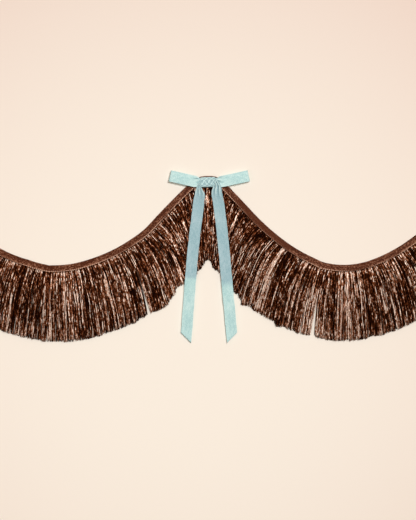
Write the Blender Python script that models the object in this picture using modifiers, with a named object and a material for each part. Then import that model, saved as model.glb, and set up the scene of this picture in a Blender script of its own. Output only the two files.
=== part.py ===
"""Fringe bow banner: slit foil fringe hung in two swags from a folded tape, with a ribbon bow at the crest.

Metres, +Z up. +X runs to the viewer's right and +Y into the wall, which is the plane y = 0.
The origin is on the tape's back face, at the middle of its height, where the two swags meet.
"""

import math
import random

import bmesh
import bpy
import numpy as np
from mathutils import Vector

# Gaps that every piece shares, and how far a straight facet may cut a curve
SEAT_GAP = 0.0003
CHORD_TOLERANCE = 0.00012

# Header tape, folded over the heads of the foil
TAPE_HEIGHT = 0.014
TAPE_LEAF = 0.0007
TAPE_FOLD_BEVEL = 0.0008
FOIL_STACK = 0.0014
TAPE_DEPTH = 2 * TAPE_LEAF + 2 * SEAT_GAP + FOIL_STACK

# Swags: the crest is held up, the tape sags on both sides and climbs again to its cut ends
SAG = 0.194
LEFT_INNER_SPAN = 0.3315
LEFT_OUTER_SPAN = 0.3140
RIGHT_INNER_SPAN = 0.2960
RIGHT_OUTER_SPAN = 0.3110
OUTER_END_SHARE = 0.93
PATH_SAMPLES = 400

# Sag as shares: way from the crest to the lowest point, and how much of the sag is reached there
LEFT_SAG_SHARES = (
    (0, 0), (0.05, 0.008), (0.09, 0.035), (0.16, 0.14), (0.32, 0.415), (0.42, 0.595),
    (0.53, 0.73), (0.65, 0.843), (0.78, 0.932), (0.90, 0.985), (1, 1),
)
RIGHT_SAG_SHARES = (
    (0, 0), (0.05, 0.007), (0.09, 0.035), (0.15, 0.123), (0.23, 0.250), (0.40, 0.522),
    (0.52, 0.680), (0.64, 0.810), (0.76, 0.908), (0.88, 0.977), (1, 0.998),
)

# Foil fringe: sections of a slit strip, each a slice of uncut backing with flat strands below it
LEFT_SECTIONS = 10
RIGHT_SECTIONS = 9
SECTION_GAP = 0.0006
SWING_GAP = 0.0008
SLICE_HEIGHT = 0.003
STRAND_PITCH = 0.0044
STRAND_LENGTH = 0.149
STRAND_RAGGED = 0.006
STRAND_MID_WIDTH = 0.0034
STRAND_TIP_WIDTH = 0.0028
STRAND_MID_THICKNESS = 0.00045
STRAND_TIP_THICKNESS = 0.00035
ROW_OFFSET_MID = 0.0005
ROW_OFFSET_TIP = 0.0010

# A strand leaves the tape between upright and square to it, as shares of the tape's slope
MID_LEAN_SHARE = 0.84
TIP_LEAN_SHARE = 0.72
CREST_CLOSING_SHARE = 0.62
STRAND_FILL_SHARE = 0.72

# Ribbon of the bow
RIBBON_WIDTH = 0.025
RIBBON_THICKNESS = 0.0006
NECK_PLEAT = 0.0007
NECK_PLEATS = 2

# Glue dot that holds the bow to the front of the tape
DOT_RADIUS = 0.004
DOT_THICKNESS = 0.0007
DOT_SIDES = 24
DOT_TOP_DROP = 0.0006

# Knot: a sleeve of ribbon, open at its left and right mouths
KNOT_WIDTH = 0.038
KNOT_HEIGHT = 0.0196
KNOT_DEPTH = 0.009
KNOT_TOP_DROP = 0.005
KNOT_SQUARENESS_SHARE = 0.55
KNOT_CREASE = 0.0003
KNOT_CREASES = 3
KNOT_BACK_Y = -(TAPE_DEPTH + DOT_THICKNESS + 2 * SEAT_GAP)
KNOT_TOP_Z = TAPE_HEIGHT / 2 - KNOT_TOP_DROP
KNOT_CENTRE_Y = KNOT_BACK_Y - KNOT_DEPTH / 2
KNOT_CENTRE_Z = KNOT_TOP_Z - KNOT_HEIGHT / 2

# Loops: a flat hairpin of ribbon each, with a gathered neck inside the knot
LOOP_LENGTH = 0.0665
LOOP_RISE = 0.0135
LOOP_BEND_LENGTH = 0.006
LOOP_NECK_LENGTH = 0.008
LOOP_NECK_PLAY = 0.0022
LOOP_MOUTH_PLAY = 0.0010
LOOP_FLARE_LENGTH = 0.020
LOOP_FLARE_START = 0.002
LOOP_NECK_HALF_DEPTH = 0.0013
LOOP_HALF_DEPTH = 0.0026
LOOP_END_FORWARD = 0.0005

# Tails: gathered under the knot, then flat down to a slanted cut
TAIL_NECK_SPREAD = 0.0195
TAIL_NECK_WIDTH = 0.0175
TAIL_GATHER_LENGTH = 0.016
LEFT_TAIL_END_X = -0.0487
RIGHT_TAIL_END_X = 0.0500
LEFT_TAIL_BOW = 0.0013
RIGHT_TAIL_BOW = 0.0025
TAIL_DROP = 0.3265
TAIL_SLANT = 0.0225
TAIL_CLEARANCE = 0.0034
TAIL_END_CLEARANCE = 0.0014
TAIL_SETTLED_SHARE = 0.13
TAIL_LEAVING_SHARE = 0.62

CHOCOLATE = (0.105, 0.036, 0.016, 1)
FOIL_BROWN = (0.150, 0.066, 0.036, 1)
AQUA = (0.545, 0.745, 0.715, 1)
CLEAR_GLUE = (0.80, 0.78, 0.72, 1)


def clear_scene():
    """Remove the objects that a new Blender scene holds."""
    for obj in list(bpy.data.objects):
        bpy.data.objects.remove(obj, do_unlink=True)


def make_material(name, colour, roughness, metallic=0.0):
    """A Principled BSDF material of one colour."""
    material = bpy.data.materials.new(name)
    material.use_nodes = True
    shader = material.node_tree.nodes["Principled BSDF"]
    shader.inputs["Base Color"].default_value = colour
    shader.inputs["Roughness"].default_value = roughness
    shader.inputs["Metallic"].default_value = metallic
    material.diffuse_color = colour
    return material


def smoothstep(share):
    """0 below 0, 1 above 1, and an S-curve between."""
    held = min(max(share, 0), 1)
    return held * held * (3 - 2 * held)


def curve_at(points, place):
    """The height at place of the smooth curve through points, level at both its ends."""
    xs = [x for x, _ in points]
    ys = [y for _, y in points]
    slopes = [0.0] * len(points)
    for i in range(1, len(points) - 1):
        before = xs[i] - xs[i - 1]
        after = xs[i + 1] - xs[i]
        rise_before = (ys[i] - ys[i - 1]) / before
        rise_after = (ys[i + 1] - ys[i]) / after
        slopes[i] = (rise_before * after + rise_after * before) / (before + after)
    i = max(j for j in range(len(points) - 1) if xs[j] <= max(place, xs[0]))
    step = xs[i + 1] - xs[i]
    t = min((place - xs[i]) / step, 1)
    return (
        (2 * t**3 - 3 * t**2 + 1) * ys[i]
        + (t**3 - 2 * t**2 + t) * step * slopes[i]
        + (3 * t**2 - 2 * t**3) * ys[i + 1]
        + (t**3 - t**2) * step * slopes[i + 1]
    )


class Swag:
    """The tape's top edge from its left end to its right, measured along itself from the crest."""

    def __init__(self):
        left = self.half(-1, LEFT_INNER_SPAN, LEFT_OUTER_SPAN, LEFT_SAG_SHARES)
        right = self.half(1, RIGHT_INNER_SPAN, RIGHT_OUTER_SPAN, RIGHT_SAG_SHARES)
        self.points = np.array(left[:0:-1] + right)
        steps = np.hypot(*np.diff(self.points, axis=0).T)
        self.lengths = np.concatenate(([0], np.cumsum(steps)))
        self.lengths -= self.lengths[len(left) - 1]
        self.left_end = float(self.lengths[0])
        self.right_end = float(self.lengths[-1])

    def half(self, side, inner_span, outer_span, shares):
        """Points of one swag, from the crest out: down to its low, then up its mirrored outer half."""
        crest_z = TAPE_HEIGHT / 2
        points = []
        for i in range(PATH_SAMPLES + 1):
            share = i / PATH_SAMPLES
            points.append((side * inner_span * share, crest_z - SAG * curve_at(shares, share)))
        for i in range(1, PATH_SAMPLES + 1):
            share = OUTER_END_SHARE * i / PATH_SAMPLES
            x = side * (inner_span + outer_span * share)
            points.append((x, crest_z - SAG * curve_at(shares, 1 - share)))
        return points

    def spot(self, length):
        """(x, z) of the top edge at this length from the crest."""
        x = np.interp(length, self.lengths, self.points[:, 0])
        z = np.interp(length, self.lengths, self.points[:, 1])
        return float(x), float(z)

    def slope(self, length):
        """Angle of the top edge, positive where it climbs to the right."""
        reach = TAPE_HEIGHT / 4
        x0, z0 = self.spot(max(length - reach, self.left_end))
        x1, z1 = self.spot(min(length + reach, self.right_end))
        return math.atan2(z1 - z0, x1 - x0)

    def place(self, length, depth, y):
        """The point depth below the top edge, square to it, and y from the wall."""
        x, z = self.spot(length)
        angle = self.slope(length)
        return Vector((x + depth * math.sin(angle), y, z - depth * math.cos(angle)))

    def stations(self, start, end):
        """Lengths from start to end, closer together where the tape bends more."""
        found = [start]
        while found[-1] < end:
            here = found[-1]
            turn = abs(self.slope(here + TAPE_HEIGHT) - self.slope(here))
            radius = TAPE_HEIGHT / max(turn, TAPE_HEIGHT / SAG)
            found.append(here + math.sqrt(8 * radius * CHORD_TOLERANCE))
        share = (end - start) / (found[-1] - start)
        return [start + (length - start) * share for length in found]


def finish_object(name, bm, material, collection, origin=None):
    """Put a finished bmesh into a named object whose origin is at the given point."""
    if origin is not None:
        bmesh.ops.translate(bm, verts=bm.verts, vec=-origin)
    mesh = bpy.data.meshes.new(name)
    bm.to_mesh(mesh)
    bm.free()
    mesh.materials.append(material)
    obj = bpy.data.objects.new(name, mesh)
    if origin is not None:
        obj.location = origin
    collection.objects.link(obj)
    return obj


def bent_grid(rows, columns, place, wrapped=False):
    """A grid of rows by columns faces whose corners are put at place(row, column)."""
    bm = bmesh.new()
    bmesh.ops.create_grid(bm, x_segments=rows, y_segments=columns, size=1)
    for vert in bm.verts:
        row = round((vert.co.x + 1) / 2 * rows)
        column = round((vert.co.y + 1) / 2 * columns)
        vert.co = place(row, column)
    if wrapped:
        bmesh.ops.remove_doubles(bm, verts=bm.verts, dist=SEAT_GAP / 10)
    bmesh.ops.recalc_face_normals(bm, faces=bm.faces)
    return bm


def thicken(obj, thickness, smooth=True):
    """Give an open sheet its thickness, half to each side."""
    if smooth:
        obj.data.shade_smooth()
    solid = obj.modifiers.new("Thickness", "SOLIDIFY")
    solid.thickness = thickness
    solid.offset = 0
    solid.use_even_offset = True
    return obj


def header_tape(swag, material, collection):
    """The tape, folded over the heads of the foil: two leaves joined along the top edge."""
    middle = TAPE_LEAF / 2
    inset = middle + TAPE_FOLD_BEVEL
    profile = (
        (TAPE_HEIGHT, -middle),
        (inset, -middle),
        (middle, -inset),
        (middle, inset - TAPE_DEPTH),
        (inset, middle - TAPE_DEPTH),
        (TAPE_HEIGHT, middle - TAPE_DEPTH),
    )
    stations = swag.stations(swag.left_end, swag.right_end)

    def place(row, column):
        depth, y = profile[column]
        return swag.place(stations[row], depth, y)

    bm = bent_grid(len(stations) - 1, len(profile) - 1, place)
    obj = finish_object("header_tape", bm, material, collection)
    return thicken(obj, TAPE_LEAF, smooth=False)


def foil_root(swag, material, collection):
    """The uncut heads of the stacked foil plies, held between the two leaves of the tape."""
    stations = swag.stations(swag.left_end, swag.right_end)
    near = TAPE_LEAF + SEAT_GAP

    def place(row, column):
        depth = near if column else TAPE_HEIGHT
        return swag.place(stations[row], depth, -near)

    bm = bent_grid(len(stations) - 1, 1, place)
    raised = bmesh.ops.extrude_face_region(bm, geom=bm.faces[:], use_keep_orig=True)
    moved = [item for item in raised["geom"] if isinstance(item, bmesh.types.BMVert)]
    bmesh.ops.translate(bm, verts=moved, vec=Vector((0, -FOIL_STACK, 0)))
    bmesh.ops.recalc_face_normals(bm, faces=bm.faces)
    return finish_object("foil_root", bm, material, collection)


class Strand:
    """The centre line of one strand: where it leaves the slice, its middle and its tip."""

    def __init__(self, swag, length_along, drop):
        slice_bottom = TAPE_HEIGHT + SWING_GAP + SLICE_HEIGHT
        self.root = swag.place(length_along, slice_bottom, -TAPE_DEPTH / 2)
        slope = swag.slope(length_along)
        closing = math.asin(min(CREST_CLOSING_SHARE * abs(self.root.x) / STRAND_LENGTH, 1))
        self.tip = self.root + self.hang(slope, TIP_LEAN_SHARE, closing, drop)
        self.mid = self.root + self.hang(slope, MID_LEAN_SHARE, closing, drop / 2)
        self.across = Vector((0, -1, 0)).cross(self.tip - self.root).normalized()

    def hang(self, slope, share, closing, drop):
        """The way down by drop, leaning with the tape but never across the line under the crest."""
        lean = min(max(slope * share, -closing), closing)
        return Vector((drop * math.sin(lean), 0, -drop * math.cos(lean)))


def ring_width(strand, beside, level, widest):
    """A strand's width at one level, kept within its share of the room to the next of its row."""
    here = getattr(strand, level)
    room = min(abs((getattr(other, level) - here).dot(strand.across)) for other in beside)
    return min(widest, STRAND_FILL_SHARE * room)


def place_ring(corners, centre, across, width, thickness, row_y):
    """Put the four corners of a strand's cross-section round its centre line."""
    for vert, side, face in corners:
        vert.co = centre + across * (side * width / 2)
        vert.co.y += row_y + face * thickness / 2


def raise_faces(bm, faces):
    """Extrude faces by one unit of depth, keeping the first ones, and return the raised ones."""
    raised = bmesh.ops.extrude_face_region(bm, geom=faces, use_keep_orig=True)["geom"]
    moved = [item for item in raised if isinstance(item, bmesh.types.BMVert)]
    bmesh.ops.translate(bm, verts=moved, vec=Vector((0, 0, 1)))
    return [item for item in raised if isinstance(item, bmesh.types.BMFace)]


def fringe_section(name, swag, start, end, first_row, chance, material, collection, origin):
    """One section of the fringe: a slice of backing and two staggered rows of strands.

    The slice is a grid of columns, raised twice in depth. Alternate cells of its lower side are
    drawn out, one row in front and one behind, and each becomes one strand.
    """
    columns = max(2, round((end - start) / STRAND_PITCH))
    width = (end - start - SECTION_GAP) / columns
    left = start + SECTION_GAP / 2
    bm = bmesh.new()
    bmesh.ops.create_grid(bm, x_segments=columns, y_segments=1, size=1)
    middle = raise_faces(bm, bm.faces[:])
    raise_faces(bm, middle)
    bmesh.ops.delete(bm, geom=middle, context="FACES_ONLY")
    bmesh.ops.recalc_face_normals(bm, faces=bm.faces)

    def column_of(face):
        return math.floor((face.calc_center_median().x + 1) / 2 * columns)

    def row_of(face):
        return math.floor(face.calc_center_median().z)

    under = [face for face in bm.faces if all(vert.co.y < 0 for vert in face.verts)]
    drawn = [face for face in under if (column_of(face) + first_row) % 2 == row_of(face)]
    backing = list(bm.verts)
    mids = bmesh.ops.extrude_discrete_faces(bm, faces=drawn)["faces"]
    labels = [(column_of(face), row_of(face)) for face in mids]
    mid_rings = [corners_of(face) for face in mids]
    tips = bmesh.ops.extrude_discrete_faces(bm, faces=mids)["faces"]
    tip_rings = {column_of(face): corners_of(face) for face in tips}

    for vert in backing:
        along = left + width * columns * (vert.co.x + 1) / 2
        depth = TAPE_HEIGHT + SWING_GAP + SLICE_HEIGHT * (1 - vert.co.y) / 2
        y = -(TAPE_DEPTH - FOIL_STACK * (vert.co.z - 1)) / 2
        vert.co = swag.place(along, depth, y)

    for (column, row), mid_ring in sorted(zip(labels, mid_rings), key=lambda pair: pair[0]):
        drop = STRAND_LENGTH + STRAND_RAGGED * chance.uniform(-1, 1)
        along = left + width * (column + 1 / 2)
        strand = Strand(swag, along, drop)
        beside = [Strand(swag, along + step * width, drop) for step in (-2, 2)]
        facing = 2 * row - 1
        mid_width = ring_width(strand, beside, "mid", STRAND_MID_WIDTH)
        tip_width = ring_width(strand, beside, "tip", STRAND_TIP_WIDTH)
        place_ring(
            mid_ring, strand.mid, strand.across, mid_width, STRAND_MID_THICKNESS,
            facing * ROW_OFFSET_MID,
        )
        place_ring(
            tip_rings[column], strand.tip, strand.across, tip_width, STRAND_TIP_THICKNESS,
            facing * ROW_OFFSET_TIP,
        )
    bmesh.ops.recalc_face_normals(bm, faces=bm.faces)
    return finish_object(name, bm, material, collection, origin)


def corners_of(face):
    """A drawn-out cell's corners, each with its side along the slice and its face in depth."""
    centre = face.calc_center_median()
    return [
        (vert, math.copysign(1, vert.co.x - centre.x), math.copysign(1, vert.co.z - centre.z))
        for vert in face.verts
    ]


def section_hinge(swag, start, end):
    """The point on the lower edge of the tape, midway along a section, where it swings."""
    return swag.place((start + end) / 2, TAPE_HEIGHT + SWING_GAP, -TAPE_DEPTH / 2)


def section_ends(swag, side):
    """(start, end) of each section on one side of the crest, from the crest out."""
    reach = abs(swag.left_end if side < 0 else swag.right_end)
    count = LEFT_SECTIONS if side < 0 else RIGHT_SECTIONS
    step = reach / count
    ends = []
    for i in range(count):
        near, far = side * step * i, side * step * (i + 1)
        ends.append((min(near, far), max(near, far)))
    return ends


def fringe(swag, material, collection):
    """Every section of the fringe, numbered from the crest out on each side."""
    chance = random.Random(29)
    strands = 0
    for side, word in ((-1, "left"), (1, "right")):
        first_row = 0
        for number, (start, end) in enumerate(section_ends(swag, side), start=1):
            columns = max(2, round((end - start) / STRAND_PITCH))
            if side < 0:
                first_row = (first_row - columns) % 2
            name = f"fringe_{word}_{number:02d}"
            origin = section_hinge(swag, start, end)
            fringe_section(
                name, swag, start, end, first_row, chance, material, collection, origin
            )
            if side > 0:
                first_row = (first_row + columns) % 2
            strands += columns
    print("strands:", strands)


def glue_dot(material, collection):
    """The round glue dot between the front of the tape and the back of the knot."""
    bm = bmesh.new()
    bmesh.ops.create_cone(
        bm, cap_ends=True, segments=DOT_SIDES, radius1=DOT_RADIUS, radius2=DOT_RADIUS,
        depth=DOT_THICKNESS,
    )
    obj = finish_object("adhesive_dot", bm, material, collection)
    obj.rotation_euler = (math.pi / 2, 0, 0)
    obj.location = (
        0,
        -(TAPE_DEPTH + SEAT_GAP + DOT_THICKNESS / 2),
        KNOT_TOP_Z - DOT_TOP_DROP - DOT_RADIUS,
    )
    return obj


def bow_knot(material, collection):
    """The knot's sleeve: a flattened tube of ribbon with a few diagonal creases, open at both mouths."""
    half_height = (KNOT_HEIGHT - RIBBON_THICKNESS) / 2
    half_depth = (KNOT_DEPTH - RIBBON_THICKNESS) / 2
    rows, columns = 6, 20

    def place(row, column):
        share = row / rows
        angle = 2 * math.pi * column / columns
        crease = KNOT_CREASE * math.sin(math.pi * share) * math.sin(
            KNOT_CREASES * angle + 2 * math.pi * share
        )
        up = math.copysign(abs(math.sin(angle)) ** KNOT_SQUARENESS_SHARE, math.sin(angle))
        out = math.copysign(abs(math.cos(angle)) ** KNOT_SQUARENESS_SHARE, math.cos(angle))
        return Vector((
            KNOT_WIDTH * (share - 1 / 2),
            KNOT_CENTRE_Y + (half_depth - crease) * out,
            KNOT_CENTRE_Z + (half_height - abs(crease)) * up,
        ))

    bm = bent_grid(rows, columns, place, wrapped=True)
    return thicken(finish_object("bow_knot", bm, material, collection), RIBBON_THICKNESS)


def loop_centre(reach):
    """(forward, up, tilt) of a loop's middle line, reach out from the knot's mouth."""
    full = math.hypot(LOOP_LENGTH, LOOP_BEND_LENGTH) - LOOP_BEND_LENGTH
    if reach <= 0:
        return 0.0, 0.0, 0.0
    arc = math.hypot(reach, LOOP_BEND_LENGTH)
    up = LOOP_RISE * (arc - LOOP_BEND_LENGTH) / full
    tilt = math.atan(LOOP_RISE / full * reach / arc)
    return LOOP_END_FORWARD * reach / LOOP_LENGTH, up, tilt


def loop_half_width(reach):
    """Half the ribbon's height on a loop: narrow in the knot, full a little way out."""
    inner = (KNOT_HEIGHT / 2 - RIBBON_THICKNESS) - LOOP_NECK_PLAY
    mouth = (KNOT_HEIGHT / 2 - RIBBON_THICKNESS) - LOOP_MOUTH_PLAY
    neck = inner + (mouth - inner) * smoothstep(1 + reach / LOOP_NECK_LENGTH)
    flare = smoothstep((reach - LOOP_FLARE_START) / LOOP_FLARE_LENGTH)
    return neck + (RIBBON_WIDTH / 2 - neck) * flare


def bow_loop(name, side, material, collection):
    """One loop: out along its back leaf, round the outer fold and back along its front leaf."""
    leaf_rows, fold_rows, columns = 9, 4, 8
    rows = 2 * leaf_rows + fold_rows
    straight = LOOP_LENGTH - LOOP_HALF_DEPTH

    def out_and_depth(row):
        """How far out a row is, and its place between the back leaf, 1, and the front, -1."""
        if leaf_rows <= row <= leaf_rows + fold_rows:
            angle = math.pi * (row - leaf_rows) / fold_rows
            return straight + LOOP_HALF_DEPTH * math.sin(angle), math.cos(angle)
        share = min(row, rows - row) / leaf_rows
        reach = -LOOP_NECK_LENGTH + (straight + LOOP_NECK_LENGTH) * share
        return reach, 1 if row < leaf_rows else -1

    def place(row, column):
        reach, leaf = out_and_depth(row)
        v = 2 * column / columns - 1
        forward, up, tilt = loop_centre(reach)
        opened = smoothstep((reach - LOOP_FLARE_START) / LOOP_FLARE_LENGTH)
        half_depth = LOOP_NECK_HALF_DEPTH + (LOOP_HALF_DEPTH - LOOP_NECK_HALF_DEPTH) * opened
        pleat = NECK_PLEAT * (1 - opened) * math.cos(NECK_PLEATS * math.pi * v)
        half = loop_half_width(reach)
        return Vector((
            side * (KNOT_WIDTH / 2 + reach - v * half * math.sin(tilt)),
            KNOT_CENTRE_Y - forward + leaf * half_depth + pleat,
            KNOT_CENTRE_Z + up + v * half * math.cos(tilt),
        ))

    origin = Vector((side * KNOT_WIDTH / 2, KNOT_CENTRE_Y, KNOT_CENTRE_Z))
    bm = bent_grid(rows, columns, place)
    return thicken(finish_object(name, bm, material, collection, origin), RIBBON_THICKNESS)


def tail_depth_curve():
    """The tail's distance from the wall, as (share of its drop, y): over the fringe, then free."""
    over_fringe = -(TAPE_DEPTH + TAIL_CLEARANCE)
    return (
        (0, KNOT_CENTRE_Y + NECK_PLEAT),
        (TAIL_SETTLED_SHARE, over_fringe),
        (TAIL_LEAVING_SHARE, over_fringe),
        (1, -(TAPE_DEPTH + TAIL_END_CLEARANCE)),
    )


def ribbon_tail(name, side, end_x, bow, material, collection):
    """One tail: gathered just under the knot, flat over the fringe, cut on a slant."""
    rows, columns = 22, 6
    top = KNOT_CENTRE_Z - KNOT_HEIGHT / 2 - SEAT_GAP
    depths = tail_depth_curve()

    def place(row, column):
        v = 2 * column / columns - 1
        share = row / rows
        drop = (TAIL_DROP - v * side * TAIL_SLANT / 2) * share
        level = drop / TAIL_DROP
        gathered = 1 - smoothstep(drop / TAIL_GATHER_LENGTH)
        half = (RIBBON_WIDTH - (RIBBON_WIDTH - TAIL_NECK_WIDTH) * gathered) / 2
        middle = side * TAIL_NECK_SPREAD + (end_x - side * TAIL_NECK_SPREAD) * level
        swell = side * bow * math.sin(math.pi * min(level, 1))
        pleat = NECK_PLEAT * gathered * math.cos(NECK_PLEATS * math.pi * v)
        return Vector((middle + swell + v * half, curve_at(depths, level) + pleat, top - drop))

    front = depths[0][1] - NECK_PLEAT - RIBBON_THICKNESS / 2
    origin = Vector((side * TAIL_NECK_SPREAD, front, top))
    bm = bent_grid(rows, columns, place)
    return thicken(finish_object(name, bm, material, collection, origin), RIBBON_THICKNESS)


def build():
    """Model the banner and gather its pieces under one empty."""
    clear_scene()
    collection = bpy.data.collections.new("fringe_bow_banner")
    bpy.context.scene.collection.children.link(collection)
    satin = make_material("chocolate_satin_tape", CHOCOLATE, 0.55)
    foil = make_material("brown_metallic_foil", FOIL_BROWN, 0.32, 0.75)
    velvet = make_material("aqua_velvet_ribbon", AQUA, 0.85)
    glue = make_material("clear_glue", CLEAR_GLUE, 0.25)
    swag = Swag()
    header_tape(swag, satin, collection)
    foil_root(swag, foil, collection)
    fringe(swag, foil, collection)
    glue_dot(glue, collection)
    bow_knot(velvet, collection)
    bow_loop("bow_loop_left", -1, velvet, collection)
    bow_loop("bow_loop_right", 1, velvet, collection)
    ribbon_tail("ribbon_tail_left", -1, LEFT_TAIL_END_X, LEFT_TAIL_BOW, velvet, collection)
    ribbon_tail("ribbon_tail_right", 1, RIGHT_TAIL_END_X, RIGHT_TAIL_BOW, velvet, collection)
    banner = bpy.data.objects.new("banner", None)
    banner.empty_display_size = TAPE_HEIGHT
    collection.objects.link(banner)
    for obj in collection.objects:
        if obj is not banner:
            obj.parent = banner


if __name__ == "__main__":
    build()
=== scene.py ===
"""Looks of the fringe bow banner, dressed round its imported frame.

Metres, +Z up. +X runs to the viewer's right and +Y into the wall, which is the plane y = 0.
"""

import logging
import math
from dataclasses import dataclass, field
from enum import Enum

import bmesh
import bpy
import numpy as np
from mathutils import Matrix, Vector

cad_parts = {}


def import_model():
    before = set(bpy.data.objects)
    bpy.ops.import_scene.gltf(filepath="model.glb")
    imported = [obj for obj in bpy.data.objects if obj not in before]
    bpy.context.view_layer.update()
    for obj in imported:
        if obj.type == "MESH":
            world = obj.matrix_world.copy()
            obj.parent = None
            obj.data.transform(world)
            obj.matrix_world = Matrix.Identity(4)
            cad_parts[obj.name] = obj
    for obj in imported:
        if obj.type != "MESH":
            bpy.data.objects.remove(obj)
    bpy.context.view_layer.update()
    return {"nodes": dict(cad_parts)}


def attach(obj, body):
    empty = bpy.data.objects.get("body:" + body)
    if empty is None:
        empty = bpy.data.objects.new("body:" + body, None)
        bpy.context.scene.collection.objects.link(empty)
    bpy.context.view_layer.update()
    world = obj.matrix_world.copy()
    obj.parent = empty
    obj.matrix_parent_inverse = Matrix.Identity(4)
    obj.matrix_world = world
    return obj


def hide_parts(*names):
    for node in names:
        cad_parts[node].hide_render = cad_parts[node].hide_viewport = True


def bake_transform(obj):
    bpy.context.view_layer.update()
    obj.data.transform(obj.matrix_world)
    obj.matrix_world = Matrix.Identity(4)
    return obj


LOG = logging.getLogger("fringe_bow_banner")
MM = 0.001
TURN = 2 * math.pi
UV_NAME = "OFBake"
# The foil's tone, which holds its painted reflections, glints and shade.
CLOTH = "cloth_place"
TONE = "foil_tone"
# Greying of the ribbon where the dark fringe lies behind it, and painted shade on the knot and the loops'
# necks.
BACKING_OR_SHADE = "dark_behind"
# Fold heights, which paint highlights on the ridges and shade in the valleys.
FOLD_SHADING = "fold_depth"
WEAR = "tape_wear"
# Painted light on the ribbon's edges.
EDGE_LIGHT = "ribbon_edge"
NOISE_MIDDLE = 0.5
SLOPE_REACH = 3.5 * MM

Colour = tuple[float, float, float]
Cells = tuple[float, float, float]
Stops = tuple[tuple[float, Colour], ...]


class Side(Enum):
    """The two sides of the crest, as the sign of x."""

    LEFT = -1
    RIGHT = 1

    @property
    def word(self) -> str:
        """The side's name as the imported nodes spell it."""
        return self.name.lower()

    @property
    def place(self) -> int:
        """The side's place in pairs of values, left first."""
        return 0 if self is Side.LEFT else 1


class Slot(Enum):
    """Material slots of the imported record."""

    TAPE = "tape"
    FOIL = "foil"
    RIBBON = "ribbon"


# Shader arithmetic


class Flow:
    """A socket of one material, with the operators that the finishes use.

    Args:
        bench: the bench that makes the nodes.
        socket: an output socket of one of its nodes.
    """

    def __init__(self, bench: "Bench", socket: bpy.types.NodeSocket) -> None:
        """Keep the socket and the bench that it belongs to."""
        self.bench = bench
        self.socket = socket

    def combined(self, operation: str, first: object, second: object) -> "Flow":
        """Join two operands by the node that suits this socket's type.

        Args:
            operation: the name that Math, Vector Math and Mix share.
            first: a flow, a number or a tuple.
            second: a flow, a number or a tuple.

        Returns:
            The joined flow.
        """
        if self.socket.type == "VALUE":
            return self.bench.node("ShaderNodeMath", {"operation": operation}, {0: first, 1: second})
        if self.socket.type == "VECTOR":
            return self.bench.node("ShaderNodeVectorMath", {"operation": operation}, {0: first, 1: second})
        settings = {"data_type": "RGBA", "blend_type": operation, "clamp_result": True}
        return self.bench.node("ShaderNodeMix", settings, {0: 1.0, 6: first, 7: second}, output=2)

    def __add__(self, other: object) -> "Flow":
        """This flow plus another."""
        return self.combined("ADD", self, other)

    def __radd__(self, other: object) -> "Flow":
        """Another plus this flow."""
        return self.combined("ADD", other, self)

    def __sub__(self, other: object) -> "Flow":
        """This flow less another."""
        return self.combined("SUBTRACT", self, other)

    def __rsub__(self, other: object) -> "Flow":
        """Another less this flow."""
        return self.combined("SUBTRACT", other, self)

    def __mul__(self, other: object) -> "Flow":
        """This flow times another."""
        return self.combined("MULTIPLY", self, other)

    def __rmul__(self, other: object) -> "Flow":
        """Another times this flow."""
        return self.combined("MULTIPLY", other, self)

    def clamped(self, low: float = 0.0, high: float = 1.0) -> "Flow":
        """This value held between low and high."""
        return self.bench.node("ShaderNodeClamp", {}, {0: self, 1: low, 2: high})


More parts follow.
